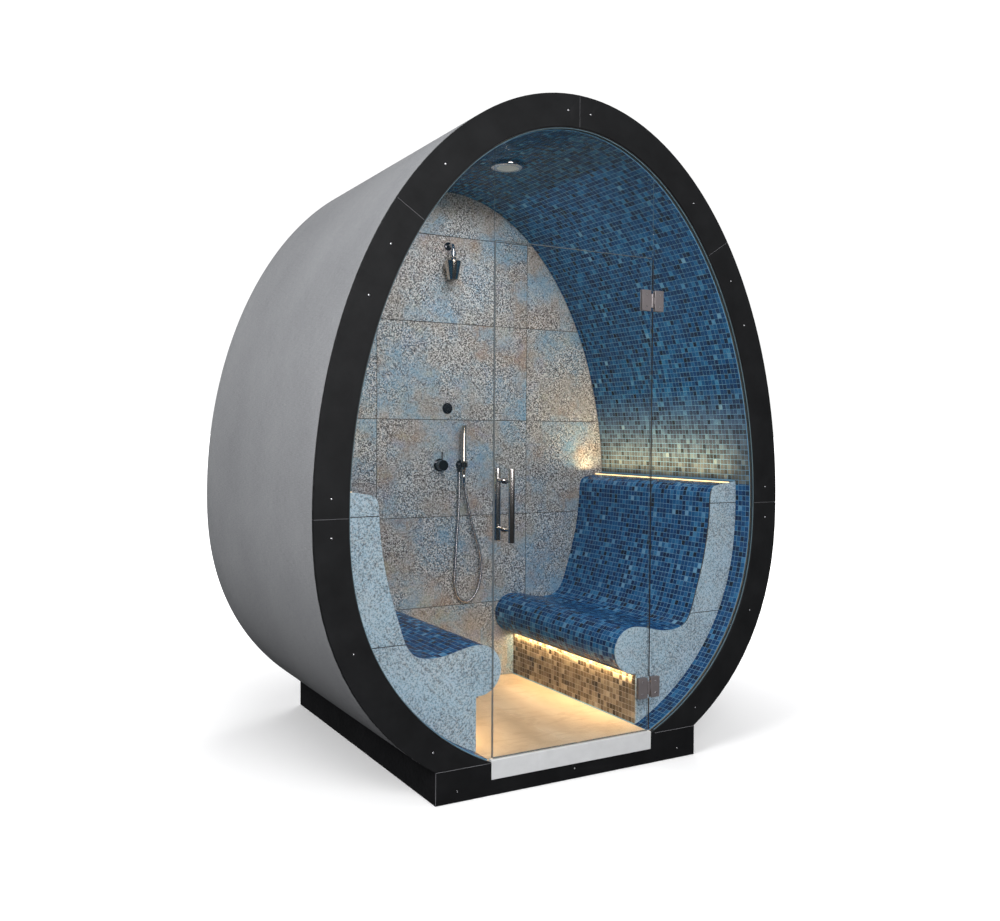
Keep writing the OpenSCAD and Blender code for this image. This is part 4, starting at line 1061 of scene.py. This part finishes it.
def make_handle():
    lo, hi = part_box("door_handle")
    r = HANDLE_R
    mid = (lo[2] + hi[2]) / 2
    parts = [turn(rounded(r, lo[2], hi[2], 0.002, 4), (HANDLE_X, y, 0), "z", 40) for y in (lo[1] + r,
                                                                                           hi[1] - r)]
    post = [(0, lo[1] + r), (0.008, lo[1] + r), (0.008, GLASS_Y - 0.0065), (r, GLASS_Y - 0.005),
            (r, GLASS_Y - 0.0004),
            (0.0045, GLASS_Y - 0.0002), (0.0045, GLASS_Y + 0.0082), (r, GLASS_Y + 0.0084),
            (r, GLASS_Y + 0.013),
            (0.008, GLASS_Y + 0.0145), (0.008, hi[1] - r), (0, hi[1] - r)]
    parts += [turn(post, (HANDLE_X, 0, z), "y", 32) for z in (mid - POST_OFF, mid + POST_OFF)]
    add("pull_handle", *join(*parts), "handle", body="door", slot="handle", replaces=("door_handle",),
        angle=35)


# ------------------------------------------------------------------ fittings
BALL_Z = 2.328      # centre of the shower head's ball
ARM_BEND = 0.012


def make_shower():
    x = 0.0
    y = (low("shower_head")[1] + high("shower_head")[1]) / 2
    lo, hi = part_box("shower_arm")
    arm_z, arm_r, rose_h = hi[2] - 0.030, y - lo[1], 0.008
    bend = [(x, y + ARM_BEND * (1 - math.sin(a)), arm_z - ARM_BEND * (1 - math.cos(a)))
            for a in np.linspace(0, math.pi / 2, 9)[1:]]
    route = [(x, WALL_Y + 0.012, arm_z)] + bend + [(x, y, lo[2])]
    add("shower_arm_tube", *tube([np.array(p) for p in route], arm_r, 32), "chrome",
        slot=slot_of("shower_arm"),
        replaces=("shower_arm",), angle=40)
    rose = [(0, 0.0), (0.0215, 0.0), (0.0215, -0.004), (0.0205, -0.0066), (0.018, -rose_h), (0, -rose_h)]
    add("shower_rosette", *turn([(r, WALL_Y + h) for r, h in rose], (x, 0, arm_z), "y", 48), "dark_chrome",
        slot="dark_chrome", angle=35)
    refined("shower_swivel", "chrome", 0.0008, angle=40)
    bottom = BALL_Z - 0.108
    cone = [(0, 0.0035), (0.0215, 0.0035), (0.0225, 0.001), (0.0242, 0.0), (0.0258, 0.001), (0.0265, 0.003),
            (0.0440, 0.0915), (0.0441, 0.0938), (0.0420, 0.0955), (0.020, 0.096), (0.017, 0.0975),
            (0.017, 0.1095),
            (0.0160, 0.112), (0.0184, 0.112)]
    add("shower_head_body", *turn(cone, (x, y, bottom), "z", 64), "bronze", body="shower_head",
        slot="dark_chrome",
        replaces=("shower_head",), angle=35)
    jet = [(0, 0.0004), (0.0011, 0.0004), (0.0015, 0.0014), (0.0016, 0.0036), (0, 0.0036)]
    jets = []
    for ring, count in ((0.0, 1), (0.006, 6), (0.012, 12), (0.0175, 16)):
        for k in range(count):
            a = 2 * math.pi * k / count
            jets.append(turn(jet, (x + ring * math.cos(a), y + ring * math.sin(a), bottom), "z", 10))
    add("shower_jets", *join(*jets), "gasket", body="shower_head", slot="dark_chrome", angle=50)


def make_controls():
    y = WALL_Y
    bz = (low("push_button")[2] + high("push_button")[2]) / 2
    bezel = [(0.0194, 0.0), (0.0194, -0.006), (0.0202, -0.0069), (0.0215, -0.007), (0.0268, -0.0066),
             (0.0284, -0.005),
             (0.029, -0.003), (0.029, 0.0)]
    add("button_ring", *turn(bezel, (0, y, bz), "y", 64, closed=True), "dark_chrome", slot="dark_chrome",
        replaces=("button_bezel",), angle=35)
    face = [(0, -0.0102), (0.008, -0.0104), (0.0165, -0.0109), (0.0182, -0.0106), (0.0189, -0.0095),
            (0.0189, -0.0035),
            (0, -0.0035)]
    add("button_face", *turn(face, (0, y, bz), "y", 64), "dark_chrome", body="push_button",
        slot="mirror_chrome",
        replaces=("push_button",), angle=35)
    for node, mat, bevel, segments in (
            ("mixer_body", "dark_chrome", 0.0008, 2), ("mixer_lever", "dark_chrome", 0.0014, 3),
            ("hose_outlet", "dark_chrome", 0.0008, 2), ("hand_shower", "bronze", 0.0008, 2),
            ("steam_nozzle", "chrome", 0.0012, 3)):
        refined(node, mat, bevel, segments, 40)
    sleeve = [(0.0078, -0.042), (0.0088, -0.0425), (0.0096, -0.041), (0.0096, -0.002), (0.0092, -0.0006),
              (0.0078, 0.0)]
    x, y = HOSE_ROUTE[-1][0], HOSE_ROUTE[-1][1]
    add("hand_shower_sleeve", *turn(sleeve, (x, y, low("hand_shower")[2]), "z", 40, closed=True), "chrome",
        body="hand_shower", slot=slot_of("hand_shower"), angle=40)


def make_plinth():
    for node in ("base_front_panel", "base_side_panels", "base_rear_panel"):
        refined(node, "panel", 0.0012)
    lo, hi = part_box("base_front_panel")
    # painted highlights: pale lines on the front panel's face along its top beside the threshold and down one
    # corner, where its edges catch the light
    d = 0.0012
    highlight_lines = [block((lo[0] + d, lo[1] - 0.0001, hi[2] - 0.0022), (-0.401, lo[1] + 0.0004, hi[2] - 0.0012)),
             block((0.421, lo[1] - 0.0001, hi[2] - 0.0022), (hi[0] - d, lo[1] + 0.0004, hi[2] - 0.0012)),
             block((lo[0] + 0.0012, lo[1] - 0.0001, lo[2] + d),
                   (lo[0] + 0.0022, lo[1] + 0.0004, hi[2] - 0.0012))]
    add("plinth_edge_highlights", *join(*highlight_lines), "edge", slot="plinth_panel")
    paint("base_frame", "frame_paint")


def make_rear():
    refined("rear_cover", "cover", 0.0008)
    refined("service_hatch", "cover", 0.0012, segments=3)
    refined("hatch_hinge_pins", "barrel", 0.0004, segments=1, angle=40)
    refined("water_inlet", "brass", 0.0008, angle=40)
    refined("cable_gland", "gland", 0.0008, angle=40)
    # screws that hold the cover to the rear rib
    face = high("rear_cover")[1]
    caps = []
    cap = [(0, -0.0006), (0.0018, -0.0006), (0.002, -0.0018), (0.0036, -0.0017), (0.005, -0.0007),
           (0.0054, 0.0002),
           (0, 0.0002)]
    for angle in range(-48, 229, 12):
        x, z = egg_at(math.radians(angle), 0.045)
        if z >= BASE_H + 0.03:
            caps.append(turn([(r, -h) for r, h in cap], (x, face, z), "y", 20))
    add("rear_cover_screws", *join(*caps), "screw", slot="screw_steel", angle=40)


def make_hidden():
    for node, mat in (("shell_ribs", "ply"), ("insulation_core", "foam"), ("floor_tray", "tray"),
                      ("drain_body", "pipe"),
                      ("back_wall_board", "board"), ("steam_generator", "steel")):
        paint(node, mat)
    refined("drain_grate", "steel", 0.0008)


# ------------------------------------------------------------------ floor, lamps and world
def make_studio():
    bpy.ops.mesh.primitive_grid_add(x_subdivisions=2, y_subdivisions=2, size=3000, location=(0, 0, -0.0002))
    floor = bpy.context.object
    floor.name = "studio_floor"
    s = Shader("studio_floor", color=(0.9, 0.9, 0.9), roughness=0.9, Specular_IOR_Level=0.0)
    away = s.node("VectorMath", s.place(), operation="LENGTH").outputs["Value"]
    s.put("Emission Color", (1, 1, 1, 1))
    s.put("Emission Strength", s.span(away, 1.2, 4.5, 0.11, 1.2))
    floor.data.materials.append(s.mat)
    floor.visible_diffuse = False
    floor.visible_glossy = False
    world = bpy.data.worlds.new("studio")
    bpy.context.scene.world = world
    world.use_nodes = True
    nodes, links = world.node_tree.nodes, world.node_tree.links
    kinds = ("TexCoord", "SeparateXYZ", "ValToRGB", "LightPath", "Background", "MixShader", "Mix")
    where, split, ramp, paths, plain_white, blend, mirror = (nodes.new("ShaderNode" + kind) for kind in kinds)
    back = nodes["Background"]
    # pale sky over a dark ground, half as bright in reflections; the camera sees plain white
    for stop, at, tone in zip(ramp.color_ramp.elements, (0.0, 0.06),
                              ((0.05, 0.05, 0.052, 1), (0.5, 0.5, 0.51, 1))):
        stop.position, stop.color = at, tone
    mirror.inputs[2].default_value, mirror.inputs[3].default_value = 1.0, 0.5
    plain_white.inputs[0].default_value, plain_white.inputs[1].default_value = (1, 1, 1, 1), 1.05
    for out, into in ((where.outputs["Generated"], split.inputs[0]), (split.outputs[2], ramp.inputs[0]),
                      (ramp.outputs[0], back.inputs[0]), (paths.outputs["Is Glossy Ray"], mirror.inputs[0]),
                      (mirror.outputs[0], back.inputs[1]), (paths.outputs["Is Camera Ray"], blend.inputs[0]),
                      (back.outputs[0], blend.inputs[1]), (plain_white.outputs[0], blend.inputs[2]),
                      (blend.outputs[0], nodes["World Output"].inputs["Surface"])):
        links.new(out, into)

    def area(name, at, facing, width, length, power, color, mirrored_in):
        data = bpy.data.lights.new(name, "AREA")
        data.shape = "RECTANGLE"
        data.size, data.size_y = width, length
        data.energy, data.color = power, color
        o = bpy.data.objects.new(name, data)
        o.location, o.rotation_euler = at, facing
        o.visible_camera, o.visible_glossy = False, mirrored_in
        bpy.context.collection.objects.link(o)

    def softbox(name, at, aim, width, power, color=(1, 1, 1), length=None, mirrored_in=True):
        facing = (Vector(aim) - Vector(at)).to_track_quat("-Z", "Y").to_euler()
        area(name, at, facing, width, length or width, power, color, mirrored_in)

    softbox("key_softbox", (-5.6, -2.4, 4.2), (-0.6, 0, 1.4), 2.4, 270)
    softbox("front_softbox", (-1.2, -5.5, 3.4), (0, 0, 1.2), 3.0, 240)
    softbox("rear_softbox", (3.4, 4.6, 3.4), (0, 0.4, 1.2), 2.8, 120)
    softbox("ceiling_wash", (0, -0.25, 2.62), (0, -0.25, 0), 0.5, 7.5, (1.0, 0.98, 0.96), 0.8, False)
    # narrow warm lamps along Y: the ledge's shine up, the seats' shine down
    warm, strip_w = (1.0, 0.71, 0.36), 0.014
    y_mid, length = (CHEEK_Y + WALL_Y) / 2, WALL_Y - CHEEK_Y - 0.06
    for side in (1, -1):
        area("ledge_lamp", (side * (LIGHT_X - 0.075), y_mid, LEDGE_Z + 0.03), (0, math.pi, 0), strip_w,
             length, 6.0, warm, False)
        area("seat_lamp", (side * (AISLE - 0.008), y_mid, NOSE_Z - NOSE_R - 0.012), (0, 0, 0), strip_w,
             length, 3.4, warm, False)


make_ring()
make_screws()
make_shell()
make_vault()
make_benches()
make_tiles()
make_lights()
make_glazing()
make_hinges()
make_handle()
refined("threshold_plate", "threshold", 0.0012, segments=3)
make_shower()
make_controls()
make_plinth()
make_rear()
make_hidden()
make_studio()
